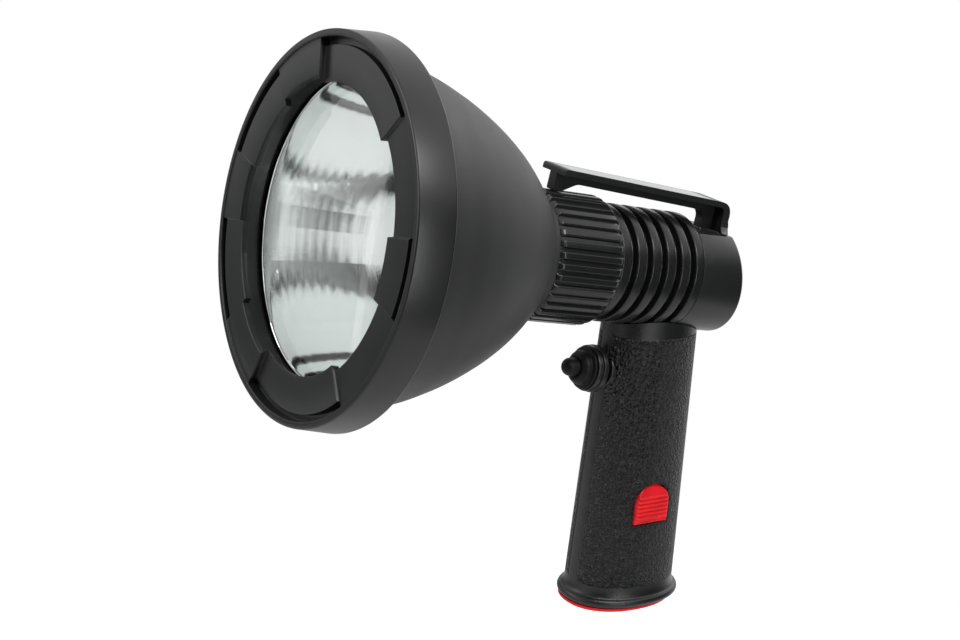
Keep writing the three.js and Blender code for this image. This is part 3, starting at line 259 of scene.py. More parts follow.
def grid_mesh(name, points, rows_closed=True, columns_closed=True, sharp=SHARP):
    """A mesh of quads over a grid of points, with its doubles merged and its faces pointing out."""
    points = np.asarray(points, float)
    rows, columns = points.shape[:2]
    i = np.arange(rows if rows_closed else rows - 1)[:, None]
    j = np.arange(columns if columns_closed else columns - 1)[None, :]
    k, l = (i + 1) % rows, (j + 1) % columns
    faces = np.stack([i * columns + j, i * columns + l, k * columns + l, k * columns + j], -1)
    return closed_mesh(name, points.reshape(-1, 3), faces.reshape(-1, 4).tolist(), sharp)


def closed_mesh(name, points, faces, sharp=SHARP):
    """A closed mesh from points and faces, merged, turned outwards, smooth but for sharp edges."""
    mesh = bpy.data.meshes.new(name)
    mesh.from_pydata(points.tolist(), [], faces)
    work = bmesh.new()
    work.from_mesh(mesh)
    bmesh.ops.remove_doubles(work, verts=work.verts, dist=2e-6)
    bmesh.ops.dissolve_degenerate(work, edges=work.edges, dist=1e-7)
    if work.calc_volume(signed=True) < 0:
        bmesh.ops.reverse_faces(work, faces=work.faces)
    work.to_mesh(mesh)
    work.free()
    mesh.shade_smooth()
    mesh.set_sharp_from_angle(angle=math.radians(sharp))
    return mesh


def plug(name, radius, low, high, count=96, centre=(0.0, 0.0)):
    """A plain cylinder between two places behind the rim, which cuts a bore."""
    profile = [[0, low], [radius, low], [radius, high], [0, high]]
    return grid_mesh(name, optical(turned(profile, count, centre=centre)))


def prism(name, outline, low, high, axes, place):
    """A closed prism: an outline of (u, v) points carried along w, with a flat face at both ends.

    axes names which of x, y and z the outline's u and v and the path w are, as "yzx", and place
    is the function that takes the points to metres.
    """
    outline = np.asarray(outline, float)
    count = len(outline)
    rows = [np.concatenate([outline, np.full((count, 1), w)], axis=1) for w in (low, high)]
    points = np.concatenate(rows)[:, [axes.index(a) for a in "xyz"]]
    i = np.arange(count)
    k = (i + 1) % count
    sides = np.stack([i, k, k + count, i + count], -1).tolist()
    return closed_mesh(name, place(points), [*sides, i[::-1].tolist(), (i + count).tolist()])


def placed(name, data):
    """A new object in the scene for a mesh, a light or a camera."""
    thing = bpy.data.objects.new(name, data)
    bpy.context.scene.collection.objects.link(thing)
    return thing


def carve(mesh, cutters):
    """The mesh with the cutters' meshes taken away, by exact booleans that are applied."""
    work = placed("work", mesh)
    tools = [placed("tool", cutter) for cutter in cutters]
    for tool in tools:
        cut = work.modifiers.new("cut", "BOOLEAN")
        cut.operation, cut.solver, cut.object = "DIFFERENCE", "EXACT", tool
    bpy.context.view_layer.update()
    graph = bpy.context.evaluated_depsgraph_get()
    carved = bpy.data.meshes.new_from_object(work.evaluated_get(graph))
    carved.name = mesh.name
    for thing in (work, *tools):
        bpy.data.objects.remove(thing)
    carved.materials.clear()
    carved.shade_smooth()
    carved.set_sharp_from_angle(angle=math.radians(SHARP))
    return carved


def piece(mesh, body, material, *nodes, slot):
    """Links a mesh as a piece that rides on a body and stands for the CAD nodes named."""
    thing = placed(mesh.name, mesh)
    mesh.materials.append(material)
    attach(thing, body)
    if nodes:
        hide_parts(*nodes)
    return thing


def bevelled(thing, width):
    """Adds a small bevel to the edges of a piece that are sharper than 30 degrees."""
    bevel = thing.modifiers.new("bevel", "BEVEL")
    bevel.width, bevel.segments = width * MM, 3
    bevel.limit_method, bevel.angle_limit = "ANGLE", math.radians(30)
    bevel.harden_normals = True


# Finishes

class Signal:
    """A socket of a node tree, on which +, -, *, / and ** add Math nodes."""

    def __init__(self, nodes, socket):
        self.nodes, self.socket = nodes, socket

    def _with(self, operation, *values):
        """What a Math node makes of some values."""
        return self.nodes.add("ShaderNodeMath", values, operation=operation)

    def __add__(self, other):
        return self._with("ADD", self, other)

    def __radd__(self, other):
        return self._with("ADD", other, self)

    def __sub__(self, other):
        return self._with("SUBTRACT", self, other)

    def __rsub__(self, other):
        return self._with("SUBTRACT", other, self)

    def __mul__(self, other):
        return self._with("MULTIPLY", self, other)

    def __rmul__(self, other):
        return self._with("MULTIPLY", other, self)

    def __truediv__(self, other):
        return self._with("DIVIDE", self, other)

    def __pow__(self, other):
        return self._with("POWER", self, other)

    def size(self):
        """The value without its sign."""
        return self._with("ABSOLUTE", self)

    def wave(self):
        """The sine of the value in radians."""
        return self._with("SINE", self)

    def most(self, other):
        """The larger of two values."""
        return self._with("MAXIMUM", self, other)


class Nodes:
    """A node tree that is emptied and then built by one method."""

    def __init__(self, tree):
        self.tree = tree
        tree.nodes.clear()

    def add(self, kind, inputs=(), output=0, **settings):
        """Adds a node of a kind, with its settings first and then its inputs, and returns an output."""
        node = self.tree.nodes.new(kind)
        for key, value in settings.items():
            setattr(node, key, value)
        pairs = inputs.items() if isinstance(inputs, dict) else enumerate(inputs)
        for key, value in pairs:
            self.join(node.inputs[key], value)
        return Signal(self, node.outputs[output])

    def join(self, socket, value):
        """Links a signal to an input socket, or gives the socket a constant."""
        if isinstance(value, Signal):
            self.tree.links.new(value.socket, socket)
        elif hasattr(value, "__len__") and len(value) == 3 and socket.type == "RGBA":
            socket.default_value = (*value, 1)
        else:
            socket.default_value = value


class Finish(Nodes):
    """One material with a Principled shader, and the nodes that feed it."""

    def __init__(self, name, **sockets):
        self.material = bpy.data.materials.new(name)
        self.material.use_nodes = True
        super().__init__(self.material.node_tree)
        self.shader = self.tree.nodes.new("ShaderNodeBsdfPrincipled")
        self.out = self.tree.nodes.new("ShaderNodeOutputMaterial")
        self.tree.links.new(self.shader.outputs[0], self.out.inputs["Surface"])
        self.point = self.add("ShaderNodeTexCoord", output="Object")
        for key, value in sockets.items():
            self.feed(key.replace("_", " "), value)

    def feed(self, name, value):
        """Feeds a socket of the shader with a signal or a constant."""
        self.join(self.shader.inputs[name], value)

    def noise(self, size, detail=2.0, rough=0.5, at=None, twist=0.0):
        """Noise with features about as large as a size in millimetres."""
        return self.add("ShaderNodeTexNoise", {
            "Vector": at or self.point, "Scale": 1 / (size * MM), "Detail": detail,
            "Roughness": rough, "Distortion": twist})

    def cells(self, size, feature="DISTANCE_TO_EDGE", at=None, jitter=1.0):
        """Voronoi cells about as large as a size in millimetres."""
        return self.add("ShaderNodeTexVoronoi", {
            "Vector": at or self.point, "Scale": 1 / (size * MM), "Randomness": jitter},
            "Distance", feature=feature)

    def ramp(self, value, low, high):
        """0 below low, 1 above high, and smooth between."""
        return self.add("ShaderNodeMapRange", {"Value": value, "From Min": low, "From Max": high},
                        interpolation_type="SMOOTHSTEP")

    def blend(self, share, a, b):
        """A colour between a and b."""
        return self.add("ShaderNodeMix", {0: share, 6: a, 7: b}, 2, data_type="RGBA")

    def axis(self, name):
        """One coordinate of the object's point, in metres."""
        return self.add("ShaderNodeSeparateXYZ", [self.point], "XYZ".index(name))

    def stretched(self, scale):
        """The object's point with each coordinate multiplied."""
        return self.add("ShaderNodeMapping", {"Vector": self.point, "Scale": scale})

    def vector(self, operation, *values, output=0):
        """A vector worked out from others."""
        return self.add("ShaderNodeVectorMath", values, output, operation=operation)

    def shake(self, size, amount):
        """The object's point pushed about by noise, so that what reads it isn't regular."""
        noise = self.add("ShaderNodeTexNoise", {"Vector": self.point, "Scale": 1 / (size * MM)}, "Color")
        push = self.vector("MULTIPLY_ADD", noise, (amount * MM,) * 3, (-amount * MM / 2,) * 3)
        return self.vector("ADD", self.point, push)

    def relief(self, height, depth, strength=1.0):
        """Feeds the normal with a height from 0 to 1 that stands a depth in millimetres."""
        self.feed("Normal", self.add("ShaderNodeBump", {
            "Strength": strength, "Distance": depth * MM, "Height": height}, "Normal"))


def rgb(value, factor=1.0):
    """A colour from a property, lightened or darkened by a factor."""
    return tuple(min(1.0, channel * factor) for channel in value)


def moulded(name, base, roughness, grain, depth, dust):
    """Moulded plastic: a fine grain, faint blotches of gloss and a little dust."""
    f = Finish(name, Specular_IOR_Level=0.5)
    broad = f.noise(38, 3)
    fine = f.noise(grain, 3, 0.6)
    speck = f.cells(grain * 1.7, "F1")
    dusty = f.ramp(f.noise(7, 6, 0.7), 0.52, 0.78)
    f.feed("Base Color", f.blend(dusty * dust, rgb(base, 0.92), rgb(base, 1.45)))
    f.feed("Roughness", roughness + (broad - 0.5) * 0.14 + (fine - 0.5) * 0.08 + dusty * 0.05)
    f.relief(fine * 0.7 + speck * 0.3, depth)
    return f.material


def clip_black(base):
    """Satin black plastic with a bare glossy grey field along the top of the clip, whose light grey is
    partly a painted reflection of the bright room that the top catches at a grazing angle.
    """
    f = Finish("clip_black", Specular_IOR_Level=0.5)
    y, z = f.axis("Y"), f.axis("Z")
    _, front, top = optical((0, CLIP_FRONT, CLIP_HEIGHT))
    above = z + (y - front) * CLIP_FALL - top
    across = f.axis("X").size()
    raised = f.ramp(above, -0.12 * MM, -0.06 * MM)
    within = 1 - f.ramp(across, 7.2 * MM, 7.3 * MM)
    start, end = (f.ramp(y, *optical([(0, a, 0), (0, a + 0.2, 0)])[:, 1]) for a in (108.0, 184.0))
    label_and_sheen = raised * within * start * (1 - end)
    fine = f.noise(0.28, 3, 0.6)
    scuff = f.ramp(f.noise(5, 6, 0.7), 0.5, 0.8)
    # Painted reflection: the field along the top is lightened to grey, partly for its own finish and
    # partly for the bright room that it reflects at a grazing angle.
    f.feed("Base Color", f.blend(label_and_sheen, f.blend(scuff * 0.2, rgb(base, 0.92), rgb(base, 1.45)),
                                 f.blend(scuff * 0.3, (0.24, 0.25, 0.27), (0.16, 0.17, 0.18))))
    f.feed("Roughness", 0.36 + (fine - 0.5) * 0.08 + scuff * 0.05 - label_and_sheen * 0.2)
    f.relief(fine * (1 - label_and_sheen * 0.8), 0.012)
    return f.material


def leather_grain(base, cell):
    """Moulded leather grain on the sides of the grip, plain along its front, foot and neck, with painted
    shade in the cracks of the grain.
    """
    f = Finish("leather_grain", Specular_IOR_Level=0.5)
    half = GRIP_LENGTH / 2
    y, z = f.axis("Y"), f.axis("Z")
    across = y * math.cos(TILT) + z * math.sin(TILT)
    up = z * math.cos(TILT) - y * math.sin(TILT)
    side = f.axis("X").size()
    rear = f.ramp(across, 0.0, 2.0 * MM)
    front = rear.most(f.ramp(side, 3.2 * MM, 3.9 * MM))
    foot = f.ramp(up, (5 - half) * MM, (6 - half) * MM)
    neck = 1 - f.ramp(up, (half - 2.6) * MM, (half - 1.6) * MM)
    mask = front * foot * neck
    line = f.ramp(side, 2.5 * MM, 2.65 * MM) * (1 - f.ramp(side, 2.9 * MM, 3.05 * MM))
    line = line * (1 - rear) * foot
    shaken = f.shake(2.2, 1.5)
    cracks = f.ramp(f.cells(cell, at=shaken), 0.0, 0.42)
    small = f.ramp(f.cells(cell * 0.52, at=shaken), 0.0, 0.35)
    lumps = f.noise(cell * 0.9, 3, 0.6)
    leather = cracks * (0.62 + 0.38 * small) + lumps * 0.25
    fine = f.noise(0.3, 2)
    wear = f.ramp(f.noise(16, 5, 0.65), 0.45, 0.75)
    # Painted shade: the cracks of the grain are darkened to a tenth of the base colour, for the shade in
    # their hollows.
    crack_shaded_tone = f.blend(cracks * mask + (1 - mask) * 0.3, rgb(base, 0.10), rgb(base, 1.1))
    f.feed("Base Color", f.blend(wear * 0.2, crack_shaded_tone, rgb(base, 1.7)))
    f.feed("Roughness", 0.44 - (1 - mask) * 0.16 + wear * 0.08 - cracks * mask * 0.08
           + (f.noise(30) - 0.5) * 0.1)
    f.relief(leather * mask + fine * 0.03 - line * 0.3, 3.0)
    return f.material


def anodised(base):
    """Black anodised metal with the fine rings that turning leaves."""
    f = Finish("anodised_black", Metallic=0.2, Specular_IOR_Level=0.5)
    rings = f.noise(0.5, 2, at=f.stretched((0.03, 1, 0.03)))
    blotch = f.noise(14, 4, 0.6)
    fine = f.noise(0.22, 2)
    f.feed("Base Color", f.blend(f.ramp(blotch, 0.4, 0.75) * 0.6, rgb(base), rgb(base, 1.6)))
    f.feed("Roughness", 0.27 + (rings - 0.5) * 0.16 + (blotch - 0.5) * 0.1)
    f.relief(rings * 0.5 + fine * 0.5, 0.03)
    return f.material


def rubber(base):
    """Soft black rubber with a bloom and moulding pores."""
    f = Finish("black_rubber", Specular_IOR_Level=0.22)
    bloom = f.ramp(f.noise(6, 5, 0.65), 0.45, 0.75)
    pores = f.noise(0.25, 3, 0.6)
    f.feed("Base Color", f.blend(bloom * 0.5, rgb(base), rgb(base, 1.8)))
    f.feed("Roughness", 0.48 + bloom * 0.12 + (pores - 0.5) * 0.1)
    f.relief(pores, 0.03)
    return f.material


def red_plastic(base):
    """Satin red plastic that is a little deeper here and there, with a fine grain."""
    f = Finish("red_plastic", Specular_IOR_Level=0.3)
    broad = f.noise(9, 3)
    fine = f.noise(0.2, 2)
    f.feed("Base Color", f.blend(f.ramp(broad, 0.3, 0.7), rgb(base, 0.85), rgb(base, 1.08)))
    f.feed("Roughness", 0.38 + (broad - 0.5) * 0.14 + (fine - 0.5) * 0.08)
    f.feed("Subsurface Weight", 0.08)
    f.feed("Subsurface Radius", (0.9 * MM, 0.2 * MM, 0.1 * MM))
    f.feed("Subsurface Scale", 1.0)
    f.relief(fine, 0.02)
    return f.material


def mirror_coat(base):
    """Vapour coat over the rings left by turning, which draw every reflection out towards the axis.

    The normal leans along the radius by a fine noise of the radius alone, and by a slow wave of it.
    """
    f = Finish("mirror_coat", Metallic=1.0)
    haze = f.ramp(f.noise(9, 5, 0.7), 0.5, 0.85)
    f.feed("Base Color", f.blend(haze * 0.35, rgb(base), rgb(base, 0.86)))
    f.feed("Roughness", 0.02 + haze * 0.03)
    x, z = f.axis("X"), f.axis("Z") - optical((0, 0, 0))[2]
    radius = (x ** 2 + z ** 2) ** 0.5
    rings_a_millimetre, wave_pitch = 70.0, 1.3
    fine = f.add("ShaderNodeTexNoise", {"W": radius / MM, "Scale": rings_a_millimetre, "Detail": 0.0},
                 noise_dimensions="1D")
    slow = (radius * (2 * math.pi / (wave_pitch * MM))).wave()
    lean = (fine - 0.5) * 0.10 + slow * 0.007
    across = f.add("ShaderNodeCombineXYZ", [x / radius * lean, 0.0, z / radius * lean])
    normal = f.add("ShaderNodeNewGeometry", output="Normal")
    f.feed("Normal", f.vector("NORMALIZE", f.vector("ADD", normal, across)))
    return f.material


def clear_glass():
    """Flat clear glass with the faintest waviness and a trace of dust."""
    f = Finish("clear_glass", Transmission_Weight=1.0, IOR=1.46)
    f.feed("Base Color", (0.985, 0.995, 0.99))
    dust = f.ramp(f.noise(2.4, 6, 0.7), 0.62, 0.9)
    f.feed("Roughness", 0.004 + dust * 0.03)
    f.relief(f.noise(24, 1), 0.01, 0.4)
    return f.material


def circuit_board():
    """Green solder mask over copper tracks, with bare pads."""
    f = Finish("circuit_board", Specular_IOR_Level=0.5)
    tracks = f.ramp(f.cells(2.6, jitter=0.35), 0.05, 0.09)
    pads = 1 - f.ramp(f.cells(3.1, "F1", jitter=0.2), 0.16, 0.2)
    mask = f.blend(tracks, (0.012, 0.10, 0.035), (0.02, 0.16, 0.06))
    f.feed("Base Color", f.blend(pads, mask, (0.62, 0.62, 0.6)))
    f.feed("Roughness", 0.42 - pads * 0.15 + (f.noise(1.2) - 0.5) * 0.1)
    f.relief(tracks * -0.5 + pads * 0.6, 0.05)
    return f.material


def metal(name, base, roughness, tarnish=0.25):
    """Bare or plated metal with a fine grain and a little tarnish."""
    f = Finish(name, Metallic=1.0)
    grain = f.noise(0.4, 3)
    dull = f.ramp(f.noise(3.0, 5, 0.65), 0.45, 0.8)
    f.feed("Base Color", f.blend(dull * tarnish, base, rgb(base, 0.55)))
    f.feed("Roughness", roughness + (grain - 0.5) * 0.2 + dull * 0.12)
    f.relief(grain, 0.015)
    return f.material


def phosphor():
    """Yellow phosphor under a clear dome."""
    f = Finish("phosphor", Coat_Weight=1.0, Coat_Roughness=0.05)
    grain = f.cells(0.35, "F1")
    f.feed("Base Color", f.blend(grain, (0.95, 0.68, 0.06), (0.8, 0.5, 0.03)))
    f.feed("Roughness", 0.45 + grain * 0.1)
    f.relief(grain, 0.02)
    return f.material


def sleeve(name, base):
    """Insulated wire, slightly mottled."""
    f = Finish(name, Specular_IOR_Level=0.45)
    mottle = f.noise(1.5, 3)
    f.feed("Base Color", f.blend(mottle, rgb(base, 0.8), rgb(base, 1.2)))
    f.feed("Roughness", 0.4 + (mottle - 0.5) * 0.2)
    f.relief(f.noise(0.3), 0.01)
    return f.material


def cell_wrap():
    """Blue shrink wrap drawn tight over a cell's can, with a pale band round its top."""
    f = Finish("cell_wrap", Coat_Weight=0.3, Coat_Roughness=0.15)
    up = f.axis("Z") * math.cos(TILT) - f.axis("Y") * math.sin(TILT)
    pale = f.ramp(up, 17.8 * MM, 18.0 * MM)
    crease = f.noise(2.6, 4, 0.6, twist=0.6)
    f.feed("Base Color", f.blend(pale, f.blend(crease, (0.02, 0.12, 0.26), (0.03, 0.17, 0.34)),
                                 (0.55, 0.56, 0.55)))
    f.feed("Roughness", 0.32 + (crease - 0.5) * 0.2)
    f.relief(crease, 0.06)
    return f.material


def frosted_lamp():
    """Milky plastic of the charge lamp."""
    f = Finish("frosted_lamp", Transmission_Weight=0.4, IOR=1.46)
    milk = f.noise(0.8, 3)
    f.feed("Base Color", f.blend(milk, (0.82, 0.8, 0.76), (0.93, 0.92, 0.9)))
    f.feed("Roughness", 0.35 + (milk - 0.5) * 0.15)
    f.relief(milk, 0.02)
    return f.material


MADE = {}


def finishes():
    """All finishes, made at the first call."""
    if not MADE:
        c = bpy.context.scene.searchlight_finishes
        g = bpy.context.scene.searchlight_grip
        MADE.update(
            satin=moulded("satin_black", c.satin, 0.34, 0.28, 0.012, 0.2),
            clip=clip_black(c.satin),
            dish=moulded("dish_black", c.matte, 0.50, 0.42, 0.055, 0.3),
            leather=leather_grain(c.matte, g.cells / MM),
            anodised=anodised(c.anodised),
            collar=moulded("collar_black", c.anodised, 0.25, 0.3, 0.015, 0.25),
            rubber=rubber(c.rubber),
            red=red_plastic(c.red),
            mirror=mirror_coat(c.mirror),
            glass=clear_glass(),
            board=circuit_board(),
            aluminium=metal("bare_aluminium", (0.72, 0.73, 0.74), 0.32),
            steel=metal("plated_steel", (0.55, 0.55, 0.56), 0.28),
            brass=metal("bare_brass", (0.78, 0.57, 0.25), 0.25, tarnish=0.4),
            phosphor=phosphor(),
            red_wire=sleeve("red_wire", (0.45, 0.015, 0.02)),
            black_wire=sleeve("black_wire", (0.015, 0.015, 0.015)),
            cells=cell_wrap(),
            lamp=frosted_lamp(),
            grey=moulded("grey_plastic", (0.030, 0.031, 0.033), 0.5, 0.4, 0.02, 0.3),
        )
    return MADE


# Head

# Steps of the filter seat in degrees from +X, the same above and below
SEAT_STEPS = (12.0, 49.0, 108.0, 135.0, 168.5)


def seat_angles():
    """Angles round the bezel, close together at the steps of its seat."""
    base = np.linspace(-180, 180, 480, endpoint=False)
    near = np.linspace(-0.6, 0.6, 9)
    steps = np.array(SEAT_STEPS)
    extra = (np.concatenate([steps, -steps])[:, None] + near).ravel()
    return np.radians(np.unique(np.round(np.concatenate([base, extra]), 4)))


def seat_fields(t):
    """Depth of the seat's face and a mask of its tabs, as functions of the angle.

    Both jump at each step over half a degree. The face keeps one depth between two steps, but sinks
    evenly from the second step to the third. The tabs stand in every other stretch from the first.
    """
    a = np.abs(np.degrees(t))
    on = [smooth((a - step) / 0.5 + 0.5) for step in SEAT_STEPS]
    tab = (1 - on[0]) + on[1] - on[2] + on[3] - on[4]
    end, side, far = 0.3, 1.2, 0.6
    sinking = 0.1 + 2.9 * np.clip((a - SEAT_STEPS[1]) / (SEAT_STEPS[2] - SEAT_STEPS[1]), 0, 1)
    depth = end * (1 - on[0]) + side * (on[0] - on[1]) + sinking * (on[1] - on[2]) \
        + far * (on[2] - on[4]) + end * on[4]
    return depth, tab


def bezel_surface(s):
    """The bezel's section at every angle, with its face, tabs and slots following the seat's fields."""
    t = seat_angles()
    depth, tab = seat_fields(t)
    rim, rear, deep = s.rim / MM, s.rear / MM, s.depth / MM
    inner = (s.rim - s.face) / MM
    seat = s.seat / MM
    tip = seat - tab * s.shift / MM
    slot_width, slot_depth = 2.7, 4.5
    slot = inner - slot_width
    bottom = depth + tab * (slot_depth - depth) + 0.02
    corners = [
        (rim, 0, 0.9),
        (rear, deep, 1.1),
        (70.7, deep, 0.2),
        (70.7, 6.2, 0.2),
        (62.7, 6.2, 0.2),
        (62.7, 9.6, 0.2),
        (seat + 1.6, 9.6, 0.3),
        (seat + 0.5, 3.5, 0.3),
        (tip + 0.2, 3.4, 0.3),
        (tip, depth, 0.45),
        (slot, depth, 0.35),
        (slot, bottom, 0.2),
        (inner, bottom, 0.25),
        (inner, 0, 0.5),
    ]
    points = np.stack([np.stack([radius + 0 * t, place + 0 * t], -1) for radius, place, _ in corners])
    section = eased(points, [fillet for _, _, fillet in corners])
    x = section[..., 0] * np.cos(t)
    z = section[..., 0] * np.sin(t)
    return optical(np.stack([x, section[..., 1], z], -1))


# Places behind the rim, each with the dish's outer radius there
DISH_SIDE = np.array([
    [13.0, 70.4], [15.6, 70.0], [22.0, 68.4], [30.0, 66.0], [38.0, 63.7], [45.0, 61.2], [52.0, 58.4],
    [60.0, 54.6], [68.0, 50.2], [75.0, 45.7], [80.0, 42.0], [85.0, 37.8], [89.0, 33.9], [92.0, 30.6],
    [94.5, 28.4], [97.8, 26.6]])


def curve_through(points, count):
    """Catmull-Rom curve through points, as an array of count points."""
    points = np.asarray(points, float)
    padded = np.concatenate([[2 * points[0] - points[1]], points, [2 * points[-1] - points[-2]]])
    u = np.linspace(0, len(points) - 1 - 1e-9, count)
    i = u.astype(int)
    t = (u - i)[:, None]
    a, b, c, d = padded[i], padded[i + 1], padded[i + 2], padded[i + 3]
    return 0.5 * (2 * b + (c - a) * t + (2 * a - 5 * b + 4 * c - d) * t ** 2
                  + (3 * b - a - 3 * c + d) * t ** 3)


def dish_surface():
    """The dish: its outer side through measured radii, its wall square to that side, and its neck."""
    wall = 2.6
    side = curve_through(DISH_SIDE, 90)
    outer = side[:, ::-1]
    ahead = np.gradient(outer, axis=0)
    ahead /= np.linalg.norm(ahead, axis=1, keepdims=True)
    inner = outer + np.stack([-ahead[:, 1], ahead[:, 0]], -1) * wall
    # The wall's inner side is kept between the neck's bore and the seat of the lens
    inner = inner[(inner[:, 0] > 19) & (inner[:, 1] > 17)][::-1]
    profile = np.concatenate([
        [[67.4, 8.6], [70.2, 8.6]], outer, [[22, 97.8], [22, 124.2], [18, 124.2]],
        [[18.0, inner[0, 1]]], inner, [[65.2, 16.6], [67.4, 16.6]]])
    return optical(turned(profile, 256))


def mirror_surface(s):
    """The reflector: r^2 = 4f(v - a), with a rounded lip at its mouth, its flange and its back.

    The lip is the curve (1-t)^2 A + 2t(1-t) P + t^2 B round the corner P between flange and parabola.
    """
    front, lip, hole, thick = 13.4, 0.8, 11.0, 1.6
    mouth, vertex = s.mouth / MM, s.vertex / MM
    focal = mouth ** 2 / (4 * (vertex - front))
    start = math.sqrt(4 * focal * (vertex - front - lip))
    radius = np.linspace(start, hole, s.steps + 1)
    along = vertex - radius ** 2 / (4 * focal)
    face = np.stack([radius, along], -1)
    t = np.linspace(0, 1, 7)[:-1, None]
    bead = (1 - t) ** 2 * np.array([mouth + lip, front]) + 2 * t * (1 - t) * np.array([mouth, front]) \
        + t ** 2 * face[0]
    back = face[::-1][:-3] + np.array([thick, 0])
    profile = np.concatenate([bead, face, back, [[61.0, 15.0], [66.9, 15.0], [66.9, front]]])
    return optical(turned(profile, 256))


class SEARCHLIGHT_OT_head(Operator):
    """Build the bezel, the lens, the reflector and the dish"""
    bl_idname = "searchlight.head"
    bl_label = "Head"

    def execute(self, context):
        s = context.scene.searchlight_head
        m = finishes()
        piece(grid_mesh("bezel_shell", bezel_surface(s)), "head", m["satin"], "bezel",
              slot="bezel_plastic")
        piece(grid_mesh("dish_shell", dish_surface()), "head", m["dish"], "dish", slot="dish_plastic")
        piece(grid_mesh("mirror_bowl", mirror_surface(s), sharp=12), "head", m["mirror"], "reflector",
              slot="mirror_coat")
        lens = band(0, 66.9, 10.6, 13.2, [0, 0.3, 0.3, 0])
        piece(grid_mesh("lens_disc", optical(turned(lens, 256))), "head", m["glass"], "lens",
              slot="clear_glass")
        gasket = band(59.2, 66.9, 9.8, 10.4, [0.25] * 4)
        piece(grid_mesh("lens_gasket_ring", optical(turned(gasket, 256))), "head", m["rubber"],
              "lens_gasket", slot="black_rubber")
        return {"FINISHED"}


# Focus collar, finned body and rear cap

def collar_surface(s):
    """The collar: at the angle t its outer radius is that of a ridge or a groove.

    A ridge is a smooth plateau over 60 per cent of its pitch, and it fades out at both ends of the
    collar, in a short step at the front and a chamfer at the rear.
    """
    points_a_ridge = 20
    count = s.ridges * points_a_ridge
    u = (np.arange(count) % points_a_ridge) / points_a_ridge
    plateau = smooth(u / 0.14) * (1 - smooth((u - 0.62) / 0.14))
    outer = s.collar / MM
    cut = s.groove / MM * (1 - plateau)
    start, end = 98.2, 130.8
    # Each station holds its place, how far the radius changes there and how deep the grooves still are
    stations = np.array([
        [start, -1.6, 0.0], [start + 0.4, -1.1, 0.3], [start + 1.0, -0.5, 0.8],
        [start + 1.7, -0.1, 1.0], [start + 2.4, 0.0, 1.0], [start + 10, 0.0, 1.0],
        [end - 10, 0.0, 1.0], [end - 3.0, 0.0, 1.0], [end - 2.3, -0.15, 1.0],
        [end - 1.0, -0.95, 0.65], [end - 0.35, -1.4, 0.2], [end, -1.8, 0.0]])
    radius = outer + stations[:, 1:2] - cut * stations[:, 2:3]
    neck, bore = np.full(count, 22.4), np.full(count, 18.2)
    rows = [neck, *radius, bore, bore, neck]
    places = [start, *stations[:, 0], end, end - 3.0, end - 3.0]
    t = angles(count)
    r = np.stack(rows)
    a = np.array(places)[:, None] + 0 * r
    return optical(np.stack([r * np.cos(t), a, r * np.sin(t)], -1))


def fins_surface(s):
    """The finned body with its guide boss, lamp pillar and chamber, all of one turning."""
    outer, groove = BODY_RADIUS, 3.5
    pitch, deep = s.fin_pitch / MM, s.fin_depth / MM
    corners = [(4, 86.1, 0.2), (10, 86.1, 0.4), (10, 108.1, 0.3), (17.7, 108.1, 0.4),
               (17.7, BODY_FRONT, 0.2), (outer, BODY_FRONT, 0.6)]
    for fin in range(1, 6):
        end = BODY_FRONT + fin * pitch
        start = end - groove
        corners += [(outer, start, 0.75), (outer - deep, start, 0.5), (outer - deep, end, 0.5),
                    (outer, end, 0.75)]
    corners += [(outer, 174.2, 0.25), (19, 174.2, 0.3), (19, 147.1, 0.1), (16.5, 147.1, 0.2),
                (16.5, 139.1, 0.3), (4, 139.1, 0.2)]
    return optical(turned(rounded(corners), 256))


def cap_surface():
    """The rear cap: rings that lean with the grip towards its end, and the bore behind them.

    The last number of a corner is its share of the lean, which grows along the outer side.
    """
    corners = [(18.7, 168.6, 0.2, 0), (18.7, CAP_FRONT, 0.1, 0), (BODY_RADIUS, CAP_FRONT, 0.3, 0),
               (24.7, 186.0, 2.0, 0.5), (24.5, 198.1, 1.9, 1), (0, 198.1, 0, 1), (0, 191.0, 0, 0),
               (14.9, 191.0, 0.5, 0), (14.9, 168.6, 0.2, 0)]
    steps = 7
    profile = rounded(corners, steps)
    lean = np.repeat([c[3] for c in corners], steps)
    radius, place = profile[:, 0, 0], profile[:, 0, 1]
    lean = np.where(radius > 15.5, smooth((place - 176) / 20), lean)
    lean = np.where((lean > 0) & (place > 194.5), 1.0, lean)
    return optical(turned(profile, 224, lean))


class SEARCHLIGHT_OT_body(Operator):
    """Build the focus collar, the finned body and the rear cap"""
    bl_idname = "searchlight.body"
    bl_label = "Body"

    def execute(self, context):
        s = context.scene.searchlight_body
        m = finishes()
        piece(grid_mesh("ridged_collar", collar_surface(s), sharp=50), "collar", m["collar"],
              "focus_collar", slot="anodised_black")
        piece(grid_mesh("finned_body", fins_surface(s)), "body", m["anodised"], "heat_sink",
              slot="anodised_black")
        flat = prism("flat_cut", [(-20, 173), (20, 173), (20, 200), (-20, 200)],
                     CLIP_SEAT - CLEAR, 40, "xyz", optical)
        cap = carve(grid_mesh("end_cap", cap_surface()), [flat])
        bevelled(piece(cap, "body", m["satin"], "rear_cap", slot="bezel_plastic"), 0.3)
        return {"FINISHED"}


# Clip

def clip_top(y):
    """Height of the clip's top at a place behind the rim."""
    return CLIP_HEIGHT - CLIP_FALL * (y - CLIP_FRONT)


